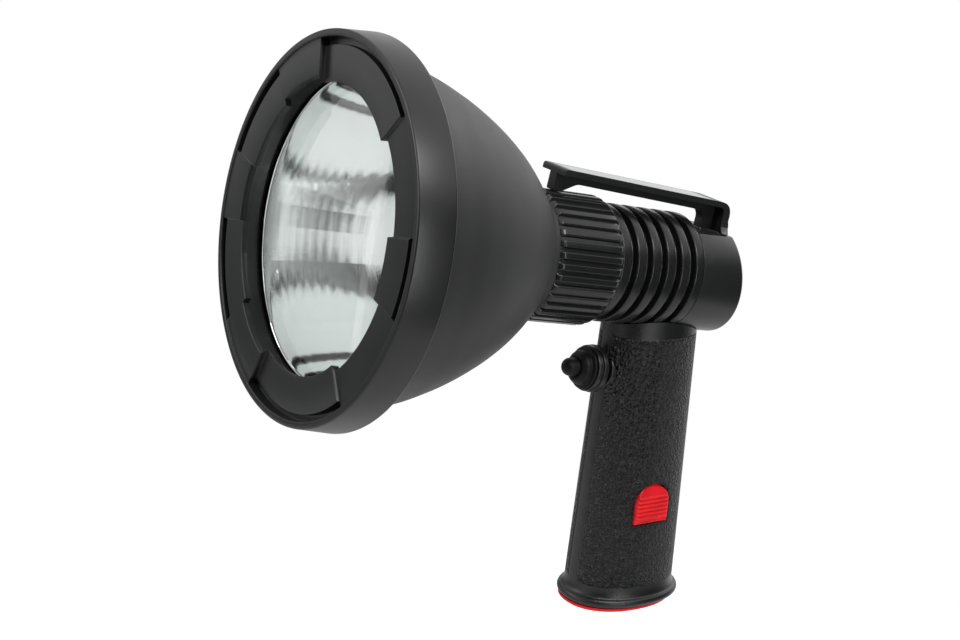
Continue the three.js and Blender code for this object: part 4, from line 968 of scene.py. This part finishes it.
def clip_outline():
    """The clip's side view: its foot, its slope, the slot with its rounded end and the rear bend.

    The slot's end is a quarter circle of the radius r, (y + r cos a, z + r + r sin a), over a
    straight drop to the seat on the cap.
    """
    thick = 5.8
    chin, foot_end, neck, slot_end, bend, rear = 27.4, 108.5, 115.8, 181.4, 194.6, 194.8
    radius = (clip_top(slot_end) - thick - CLIP_SEAT) / 2
    a = np.radians(np.linspace(90, 0, 13))
    slot = np.stack([slot_end + radius * np.cos(a), CLIP_SEAT + radius * (1 + np.sin(a)), 0 * a], -1)
    corners = [
        (CLIP_FRONT, CLIP_HEIGHT, 1.35), (CLIP_FRONT, chin, 0.6), (foot_end, chin, 0.5),
        (neck, clip_top(neck) - thick, 1.6), *slot, (slot_end + radius, CLIP_SEAT, 0.0),
        (rear, CLIP_SEAT, 0.0), (rear, clip_top(bend), 6.0)]
    return refined(rounded(corners, 9), 3.0)


class SEARCHLIGHT_OT_clip(Operator):
    """Build the clip that lies along the top"""
    bl_idname = "searchlight.clip"
    bl_label = "Top clip"

    def execute(self, context):
        half = context.scene.searchlight_body.clip_width / MM / 2
        # How far the foot spreads over the cap on the side in view, half of the web's width, a place
        # beyond the clip's side, and where the flange at the rear begins
        foot, web, far, flange = 15.0, 2.4, 20.0, 191.1
        strap = prism("strap_clip", clip_outline(), -half, foot, "yzx", optical)
        shoulder = [(half, 50.0), (half, 25.4), (9.2, 22.8), (11.4, 21.2), (13.6, 20.7), (13.6, 15.0),
                    (far, 15.0), (far, 50.0)]
        ahead = [(half - 0.1, 90.0), (half - 0.1, flange), (13.4, 188.3), (far, 188.3), (far, 90.0)]
        behind = [(9.0, 200.0), (9.0, 194.7), (12.4, 192.6), (13.7, 190.2), (far, 190.2), (far, 200.0)]
        recess = rounded([
            (100.0, clip_top(100) - 1.4, 0), (CLIP_FRONT, CLIP_HEIGHT - 2.9, 1.2),
            (107.4, clip_top(107.4) - 2.5, 1.0), (flange, clip_top(flange) - 2.4, 2.6),
            (flange, 14.0, 0), (100.0, 14.0, 0)], 7)[:, 0]
        cuts = [prism(name, outline, low, high, axes, optical) for name, outline, low, high, axes in (
            ("shoulder_cut", shoulder, 90, 210, "xzy"),
            ("ahead_cut", ahead, 10, 31, "xyz"),
            ("behind_cut", behind, 10, 50, "xyz"),
            ("recess_cut", recess, web, half, "yzx"),
            ("recess_cut", recess, -half - 1, -web, "yzx"))]
        clip = piece(carve(strap, cuts), "body", finishes()["clip"], "top_clip", slot="bezel_plastic")
        bevelled(clip, 0.35)
        return {"FINISHED"}


# Grip

def grip_half(s, down):
    """Half-width and half-depth of the grip at a distance below the body, both growing evenly."""
    share = np.asarray(down, float) / GRIP_LENGTH
    width = (s.top_width + (s.foot_width - s.top_width) * share) / MM
    depth = (s.top_depth + (s.foot_depth - s.top_depth) * share) / MM
    return width, depth


def latch_outline(s, slack):
    """The latch's outline in width and height: straight sides under a half circle, let out evenly."""
    wide, foot = s.latch_width / MM / 2 + slack, -LATCH_FOOT - slack
    spring = foot + s.latch_height / MM + 2 * slack - wide
    t = np.linspace(0, math.pi, 25)
    arch = np.stack([wide * np.cos(t), spring + wide * np.sin(t)], -1)
    return np.concatenate([[[-wide, foot], [wide, foot]], arch])


def outline_distance(points, outline):
    """Distance of points from a closed outline of straight edges."""
    a = outline
    b = np.roll(outline, -1, axis=0)
    edge = b - a
    rel = points[..., None, :] - a
    share = np.clip((rel * edge).sum(-1) / np.maximum((edge ** 2).sum(-1), 1e-9), 0, 1)
    return np.linalg.norm(rel - share[..., None] * edge, axis=-1).min(axis=-1)


def grip_surface(s):
    """The grip's wall: ovals from its shoulder down to its rounded foot, and back up inside.

    Near each latch window the outer wall sinks by a short fillet, as 0.5 (1 - d/0.9)^2 of the
    distance d from the window's outline.
    """
    # The half-width and half-depth where the flare ends and of the lip below it, and the lip's fillet
    flare, lip, fillet = (20.0, 27.6), (20.95, 28.7), 1.6
    wall, points = 3, 320
    neck = GRIP_LENGTH - 7
    down = np.concatenate([[-12], np.linspace(-11, neck, 120)])
    t = np.linspace(0, 1, 9)[1:]
    a = np.linspace(-0.42 * math.pi, math.pi / 2, 12)
    flare_down = neck + 7.0 * np.sin(t * math.pi / 2) ** 0.9
    lip_down = GRIP_LENGTH + 1.9 + 1.9 * np.sin(a)
    width, depth = (
        np.concatenate([side, side[-1] + (wide - side[-1]) * t ** 2.4, most - fillet + fillet * np.cos(a)])
        for side, wide, most in zip(grip_half(s, down), flare, lip))
    outer = oval(width, depth, -np.concatenate([down, flare_down, lip_down]), points)
    window = latch_outline(s, 0.5)
    near = (np.abs(outer[..., 1]) < 12) & (outer[..., 2] < -60) & (outer[..., 2] > -92)
    dist = np.full(near.shape, 9.0)
    dist[near] = outline_distance(outer[near][:, 1:], window)
    outer[..., 0] -= np.sign(outer[..., 0]) * 0.5 * np.clip(1 - dist / 0.9, 0, 1) ** 2
    inside = np.array([GRIP_LENGTH + 3.8, 90.0, 50.0, 7.4, 7.0])
    in_width, in_depth = grip_half(s, inside)
    inner = oval(in_width - wall, in_depth - wall, -inside, points)
    top = np.broadcast_to(outer[0].mean(axis=0), outer[:1].shape)
    roof = np.broadcast_to(inner[-1].mean(axis=0), inner[:1].shape)
    return gripped(np.concatenate([top, outer, inner, roof]))


class SEARCHLIGHT_OT_grip(Operator):
    """Build the grip with its latch windows and its switch boss"""
    bl_idname = "searchlight.grip"
    bl_label = "Grip"

    def execute(self, context):
        s = context.scene.searchlight_grip
        m = finishes()
        place = (0, -SWITCH_DROP)
        wall = grid_mesh("grip_wall", grip_surface(s), rows_closed=False)
        cuts = [plug("bore_cut", BODY_RADIUS + CLEAR, 120, 230, 256),
                plug("hole_cut", 5.7, 140, 170, centre=place),
                plug("face_cut", 7.7, 140, 153.1, centre=place),
                prism("window_cut", latch_outline(s, 0.35), -40, 40, "yzx", gripped)]
        piece(carve(wall, cuts), "body", m["leather"], "grip", slot="grip_plastic")
        boss = band(6.0, 7.7, 153.2, 158.5, [0.2, 1.1, 0.1, 0.1])
        piece(grid_mesh("switch_boss", optical(turned(boss, 96, centre=place))), "body", m["satin"],
              slot="grip_plastic")
        return {"FINISHED"}


# Latches

def latch_surface(s):
    """A latch's face and its hidden back, as two grids of points over the latch's outline.

    The outline's half-width is constant up to the spring of its arch, and sqrt(h^2 - (z - spring)^2)
    above it. The face is ribbed in its lower part, by sin^2 of the height over the pitch, falls away
    evenly above the ribs, and rounds off along its edge by 0.5 (1 - d/0.7)^2 of the distance d.
    """
    half, height = s.latch_width / MM / 2, s.latch_height / MM
    foot = -LATCH_FOOT
    rows, columns = 90, 48
    up = foot + height * np.linspace(0, 1, rows)
    spring = foot + height - half
    width = np.where(up > spring, np.sqrt(np.maximum(half ** 2 - (up - spring) ** 2, 0)), half)[:, None]
    u = np.linspace(-1, 1, columns)[None, :]
    y = width * u
    z = np.broadcast_to(up[:, None], y.shape)
    inwards = (1 - np.abs(u)) * width
    ribs_from, pitch, count, rib = foot + 1.6, 1.9, 6, 0.8
    ribs_to = ribs_from + count * pitch
    phase = (z - ribs_from) / pitch
    in_ribs = smooth((phase + 0.1) * 4) * (1 - smooth((phase - count + 0.1) * 4))
    rise = rib * np.sin(np.clip(phase, 0, count) * math.pi) ** 2 * in_ribs * smooth(inwards / 1.2)
    slope = 2.2 * np.clip((z - ribs_to) / (foot + height - ribs_to), 0, 1)
    edge = np.minimum(inwards, np.minimum(z - foot, 9))
    round_off = 0.5 * np.clip(1 - edge / 0.7, 0, 1) ** 2
    face = grip_half(s, LATCH_FOOT - height / 2)[0] + 0.05
    top = face + rise - slope - round_off
    back = np.full_like(top, face - 4.85)
    return np.stack([top, y, z], -1), np.stack([back, y, z], -1)


def closed_sheet(name, front, rear):
    """A closed piece between two grids of points whose edges are joined by a wall."""
    rows, columns = front.shape[:2]
    n = rows * columns
    i = np.arange(rows - 1)[:, None]
    j = np.arange(columns - 1)[None, :]
    quads = np.stack([i * columns + j, i * columns + j + 1, (i + 1) * columns + j + 1,
                      (i + 1) * columns + j], -1).reshape(-1, 4)
    index = np.arange(n).reshape(rows, columns)
    rim = np.concatenate([index[0, :-1], index[:-1, -1], index[-1, :0:-1], index[:0:-1, 0]])
    ahead = np.roll(rim, -1)
    wall = np.stack([rim, rim + n, ahead + n, ahead], -1)
    faces = np.concatenate([quads, quads[:, ::-1] + n, wall])
    points = np.concatenate([front.reshape(-1, 3), rear.reshape(-1, 3)])
    return closed_mesh(name, points, faces.tolist(), sharp=50)


class SEARCHLIGHT_OT_latches(Operator):
    """Build the two red latch buttons"""
    bl_idname = "searchlight.latches"
    bl_label = "Latches"

    def execute(self, context):
        front, rear = latch_surface(context.scene.searchlight_grip)
        for name, side in (("left", 1), ("right", -1)):
            mirrored = np.array([side, 1, 1])
            mesh = closed_sheet(f"latch_button_{name}", gripped(front * mirrored),
                                gripped(rear * mirrored))
            piece(mesh, f"latch_{name}", finishes()["red"], f"latch_{name}", slot="red_plastic")
        return {"FINISHED"}


# Switch

class SEARCHLIGHT_OT_switch(Operator):
    """Build the switch on the front of the grip"""
    bl_idname = "searchlight.switch"
    bl_label = "Switch"

    def execute(self, context):
        m = finishes()
        place = (0, -SWITCH_DROP)
        parts = (
            ("switch_head", "satin", "switch_housing", "bezel_plastic", [
                (2.4, 144.6, 0.1), (9.7, 144.6, 0.5), (9.9, 145.4, 0.4), (9.9, 146.3, 0.15),
                (9.3, 146.6, 0.15), (9.3, 147.1, 0.15), (10.2, 147.4, 0.3), (10.2, 149.6, 0.5),
                (6.4, 149.6, 0.5), (6.4, 152.8, 0.2), (5.4, 152.8, 0.1), (5.4, 164.8, 0.2),
                (2.4, 164.8, 0.1)]),
            ("rubber_boot", "rubber", "switch_boot", "black_rubber", [
                (4.3, 139.1, 0.2), (5.6, 139.1, 0.5), (7.3, 140.8, 0.9), (7.3, 143.0, 0.4),
                (9.1, 143.3, 0.4), (9.1, 144.3, 0.3), (4.3, 144.3, 0.1)]),
        )
        for name, finish, node, slot, corners in parts:
            mesh = grid_mesh(name, optical(turned(rounded(corners, 6), 160, centre=place)))
            piece(mesh, "body", m[finish], node, slot=slot)
        t = np.linspace(0, math.pi / 2, 16)
        dome = np.stack([3.85 * np.sin(t), 132.9 + 3.6 * (1 - np.cos(t))], -1)
        tip = np.concatenate([dome, [[4.0, 138.0], [4.0, 142.1], [3.8, 142.3], [0, 142.3]]])
        mesh = grid_mesh("rubber_tip", optical(turned(tip, 128, centre=place)), rows_closed=False)
        piece(mesh, "switch", m["rubber"], "switch_tip", slot="black_rubber")
        return {"FINISHED"}


# Battery

# Places of the socket, the charge lamp and the screws from the grip's axis, rearwards
SOCKET_PLACE = 9.4
LAMP_PLACE = -12.0
SCREW_PLACES = {"front": -18.0, "rear": 18.0}


def foot_plate():
    """The red plate under the grip: ovals with a rounded lower edge, fanned shut at both ends."""
    t = np.linspace(0, math.pi / 2, 7)
    inset = np.concatenate([[0.2, 0.0], 1.1 * (1 - np.cos(t))])
    down = np.concatenate([[124.3, 124.5], 124.9 + 1.1 * np.sin(t)])
    rows = oval(19.5 - inset, 26.7 - inset, -down, 256) + [0, -1.4, 0]
    first = np.broadcast_to(rows[0].mean(axis=0), rows[:1].shape)
    last = np.broadcast_to(rows[-1].mean(axis=0), rows[:1].shape)
    return gripped(np.concatenate([first, rows, last]))


def standing(profile, y, count=96):
    """A turned form that stands along the grip's axis at a place y: (r cos t, y + r sin t, h)."""
    profile = np.asarray(profile, float).reshape(-1, 2)
    t = angles(count)
    r = profile[:, :1]
    h = profile[:, 1:] + 0 * t
    return gripped(np.stack([r * np.cos(t), y + r * np.sin(t), h], -1))


class SEARCHLIGHT_OT_battery(Operator):
    """Build the foot of the battery with its socket, lamp and screws"""
    bl_idname = "searchlight.battery"
    bl_label = "Battery foot"

    def execute(self, context):
        m = finishes()
        drills = ((7.55, SOCKET_PLACE), (2.7, LAMP_PLACE), (3.1, SCREW_PLACES["rear"]),
                  (3.1, SCREW_PLACES["front"]))
        cuts = [grid_mesh("drill", standing([[0, -120], [r, -120], [r, -132], [0, -132]], y))
                for r, y in drills]
        plate = carve(grid_mesh("foot_plate", foot_plate(), rows_closed=False), cuts)
        piece(plate, "battery", m["red"], "battery_base", slot="red_plastic")
        boss = band(5.3, 7.5, -124.4, -128.1, [0.1, 0.1, 0.8, 0.3], 7)
        piece(grid_mesh("socket_boss", standing(boss, SOCKET_PLACE, 160)), "battery", m["red"],
              slot="red_plastic")
        cup = rounded([(0, -120.2, 0), (5.0, -120.2, 0.2), (5.0, -128.0, 0.4), (2.7, -128.0, 0.3),
                       (2.7, -122.2, 0.1), (0, -122.2, 0)])
        piece(grid_mesh("socket_cup", standing(cup, SOCKET_PLACE)), "battery", m["black_wire"],
              "charge_socket", slot="black_wire")
        pin = rounded([(0, -122.0, 0), (0.8, -122.0, 0.1), (0.8, -127.0, 0.4), (0, -127.4, 0)])
        piece(grid_mesh("socket_pin", standing(pin, SOCKET_PLACE, 48)), "battery", m["steel"],
              slot="steel")
        lamp = band(0, 2.4, -124.3, -127.1, [0, 0.1, 1.0, 0], 7)
        piece(grid_mesh("lamp_window", standing(lamp, LAMP_PLACE)), "battery", m["lamp"], "charge_lamp",
              slot="clear_glass")
        head = rounded([(0, -125.0, 0), (2.75, -125.0, 0.1), (2.75, -126.0, 0.6), (0, -126.25, 0.5)], 6)
        for name, y in SCREW_PLACES.items():
            cross = [prism("cross_cut", [(-w, y - d), (w, y - d), (w, y + d), (-w, y + d)], -127, -125.4,
                           "xyz", gripped) for w, d in ((1.5, 0.28), (0.28, 1.5))]
            screw = carve(grid_mesh(f"foot_screw_{name}", standing(head, y, 64)), cross)
            piece(screw, "battery", m["steel"], f"base_screw_{name}", slot="steel")
        return {"FINISHED"}


# Pieces that keep the CAD shape

KEPT = {
    "rubber": ("bezel_seal", "neck_seal", "cap_seal"),
    "steel": ("guide_key", "collar_circlip", "clip_screw", "grip_screw_front", "grip_screw_rear",
              "switch_plunger", "switch_nut", "latch_spring_left", "latch_spring_right"),
    "aluminium": ("lamp_board",),
    "phosphor": ("lamp_emitter",),
    "board": ("driver_board", "battery_board"),
    "brass": ("driver_ring", "contact_pin_front", "contact_pin_rear", "contact_plate_front",
              "contact_plate_rear"),
    "red_wire": ("lamp_wire_red", "supply_wire_red", "switch_wire"),
    "black_wire": ("lamp_wire_black", "supply_wire_black"),
    "grey": ("micro_switch", "contact_block", "battery_case", "battery_sleeve", "battery_lid"),
    "cells": ("cell_front", "cell_rear"),
}


class SEARCHLIGHT_OT_inner(Operator):
    """Finish the inner pieces, which keep their modelled shape"""
    bl_idname = "searchlight.inner"
    bl_label = "Inner pieces"

    def execute(self, context):
        m = finishes()
        for finish, names in KEPT.items():
            for name in names:
                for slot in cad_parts[name].material_slots:
                    slot.material = m[finish]
        return {"FINISHED"}


# Studio

# The camera's place, the directions to the right, down and ahead in its picture, its focal length
# in pixels and the width of the picture
CAMERA_AT = (593.8, -337.5, 123.1)
CAMERA_RIGHT = (0.5266, 0.8198, 0.2251)
CAMERA_DOWN = (0.2957, 0.0716, -0.9526)
CAMERA_AHEAD = (-0.797, 0.5682, -0.2047)
FOCAL_PIXELS = 1848.7
IMAGE_WIDTH = 960
# Strength of the white room for the rays that light dull surfaces
ROOM_FILL = 0.5
# How far the floor lies below the lamp and reaches to each side, and how far off the flags stand,
# in metres
FLOOR_DROP = 0.095
FLOOR_HALF = 0.6
FLAG_RADIUS = 2.6
# Flags by their spans of azimuth and elevation in degrees
FLAGS = (
    ("flag_right", (-18, 82), (-30, 34)),
    ("flag_camera", (-70, -18), (-35, 32)),
    ("slat_strip", (164, 181), (-50, 40)),
    ("slat_far", (187, 199), (-60, 30)),
    ("bar_low", (200, 218), (-46, -34)),
    ("bar_middle", (200, 218), (-18, -6)),
    ("bar_high", (200, 218), (12, 20)),
    ("slat_wide", (219, 236), (-64, 12)),
    ("bar_near", (237, 246), (-30, -12)),
    ("slat_near", (247, 260), (-60, 40)),
    ("slat_top", (-30, 20), (46, 52)),
    ("slat_low", (-60, 10), (-50, -42)),
)
# Softboxes by place, width and height in metres round the middle of the grip, and by watts, and the
# place in the optical frame at which they aim
SOFTBOXES = (
    ("key", (0.75, -0.15, 1.05), 0.7, 0.35, 7.2),
    ("side", (1.35, 0.05, 0.15), 0.10, 1.0, 5),
    ("front", (-0.5, -1.3, 0.5), 0.5, 0.9, 6),
    ("back", (-0.3, 1.1, 0.9), 1.0, 0.3, 2),
)
LIGHTS_AIM = (0, 90, -10)


def floor_white():
    """Pale floor that fades out round the object, with part of its light shown to the camera alone."""
    f = Finish("floor_white", Roughness=0.8)
    f.feed("Base Color", (0.9, 0.9, 0.9))
    seen = f.add("ShaderNodeLightPath", output="Is Camera Ray")
    glow = f.add("ShaderNodeEmission", {"Color": (1, 1, 1), "Strength": seen * 0.62})
    shade = f.add("ShaderNodeAddShader", [Signal(f, f.shader.outputs[0]), glow])
    away = f.vector("LENGTH", f.stretched((1, 1, 0)), output="Value")
    clear = f.add("ShaderNodeBsdfTransparent")
    mixed = f.add("ShaderNodeMixShader", [f.ramp(away, 0.22, 0.5), shade, clear])
    f.join(f.out.inputs["Surface"], mixed)
    return f.material


def flag_grey():
    """Dull grey cloth of the flags that stand round the object, out of the camera's sight."""
    f = Finish("flag_grey", Roughness=0.9)
    weave = f.noise(20, 2)
    f.feed("Base Color", f.blend(weave, (0.11, 0.13, 0.12), (0.14, 0.16, 0.15)))
    return f.material


def flag(name, azimuths, elevations, material):
    """A curved grey flag: points on a sphere between two azimuths and two elevations, in degrees."""
    a = np.radians(np.linspace(*azimuths, 24))[:, None]
    e = np.radians(np.linspace(*elevations, 16))[None, :]
    points = FLAG_RADIUS * np.stack([np.cos(e) * np.cos(a), np.cos(e) * np.sin(a), np.sin(e) + 0 * a], -1)
    mesh = grid_mesh(name, points, rows_closed=False, columns_closed=False)
    mesh.materials.append(material)
    thing = placed(name, mesh)
    thing.visible_camera = thing.visible_transmission = thing.visible_shadow = False


def softbox(name, centre, aim, width, height, strength):
    """A soft rectangular light at a place in metres, turned towards another."""
    lamp = bpy.data.lights.new(name, "AREA")
    lamp.shape, lamp.size, lamp.size_y, lamp.energy = "RECTANGLE", width, height, strength
    thing = placed(name, lamp)
    thing.location = centre
    thing.rotation_euler = (Vector(aim) - Vector(centre)).to_track_quat("-Z", "Y").to_euler()


def white_room(scene):
    """A world that is white to the camera, to mirrors and to glass, and a dim fill to all else."""
    world = bpy.data.worlds.new("white_room")
    scene.world = world
    world.use_nodes = True
    w = Nodes(world.node_tree)
    level = ROOM_FILL
    for ray in ("Is Camera Ray", "Is Glossy Ray", "Is Transmission Ray"):
        level = w.add("ShaderNodeLightPath", output=ray).most(level)
    light = w.add("ShaderNodeBackground", {"Color": (1, 1, 1), "Strength": level})
    out = w.tree.nodes.new("ShaderNodeOutputWorld")
    w.join(out.inputs["Surface"], light)


class SEARCHLIGHT_OT_studio(Operator):
    """Build the camera, the lights, the flags, the white world and the floor"""
    bl_idname = "searchlight.studio"
    bl_label = "Studio"

    def execute(self, context):
        scene = context.scene
        camera = bpy.data.cameras.new("camera")
        camera.sensor_width = 36
        camera.lens = FOCAL_PIXELS * camera.sensor_width / IMAGE_WIDTH
        camera.clip_start, camera.clip_end = 0.01, 50
        eye = placed("camera", camera)
        right, down, ahead = (Vector(v).normalized() for v in (CAMERA_RIGHT, CAMERA_DOWN, CAMERA_AHEAD))
        turn = Matrix((right, -down, -ahead)).transposed().to_4x4()
        eye.matrix_world = Matrix.Translation(Vector(optical(CAMERA_AT))) @ turn
        scene.camera = eye
        scene.view_settings.view_transform = "Standard"
        white_room(scene)

        half, low = FLOOR_HALF, solid_box[0][2] - FLOOR_DROP
        floor = grid_mesh("floor", [
            [[-half, -half, low], [half, -half, low]], [[-half, half, low], [half, half, low]]],
            rows_closed=False, columns_closed=False)
        floor.materials.append(floor_white())
        placed("floor", floor)

        grey = flag_grey()
        for name, azimuths, elevations in FLAGS:
            flag(name, azimuths, elevations, grey)
        aim = tuple(optical(LIGHTS_AIM))
        for name, place, width, height, strength in SOFTBOXES:
            softbox(name, place, aim, width, height, strength)
        return {"FINISHED"}


class SEARCHLIGHT_PT_panel(Panel):
    """Lists the sizes, the colours and the steps that build the searchlight"""
    bl_idname = "SEARCHLIGHT_PT_panel"
    bl_label = "Searchlight"
    bl_space_type = "VIEW_3D"
    bl_region_type = "UI"
    bl_category = "Searchlight"

    def draw(self, context):
        layout = self.layout
        for name, _ in GROUPS:
            box = layout.box()
            group = getattr(context.scene, name)
            for key in group.__annotations__:
                box.prop(group, key)
        for operator in OPERATORS:
            layout.operator(operator.bl_idname)


GROUPS = (
    ("searchlight_head", HeadSizes),
    ("searchlight_body", BodySizes),
    ("searchlight_grip", GripSizes),
    ("searchlight_finishes", Finishes),
)
OPERATORS = (
    SEARCHLIGHT_OT_head,
    SEARCHLIGHT_OT_body,
    SEARCHLIGHT_OT_clip,
    SEARCHLIGHT_OT_grip,
    SEARCHLIGHT_OT_latches,
    SEARCHLIGHT_OT_switch,
    SEARCHLIGHT_OT_battery,
    SEARCHLIGHT_OT_inner,
    SEARCHLIGHT_OT_studio,
)


def register():
    """Registers the sizes, the operators and the panel."""
    for name, group in GROUPS:
        bpy.utils.register_class(group)
        setattr(bpy.types.Scene, name, PointerProperty(type=group))
    for cls in (*OPERATORS, SEARCHLIGHT_PT_panel):
        bpy.utils.register_class(cls)


def unregister():
    """Takes back what register did, in the opposite order."""
    for cls in reversed((*OPERATORS, SEARCHLIGHT_PT_panel)):
        bpy.utils.unregister_class(cls)
    for name, group in reversed(GROUPS):
        delattr(bpy.types.Scene, name)
        bpy.utils.unregister_class(group)


def main():
    """Registers the sizes, the operators and the panel, and builds everything in order."""
    register()
    for operator in OPERATORS:
        family, name = operator.bl_idname.split(".")
        getattr(getattr(bpy.ops, family), name)()


if __name__ == "__main__":
    main()
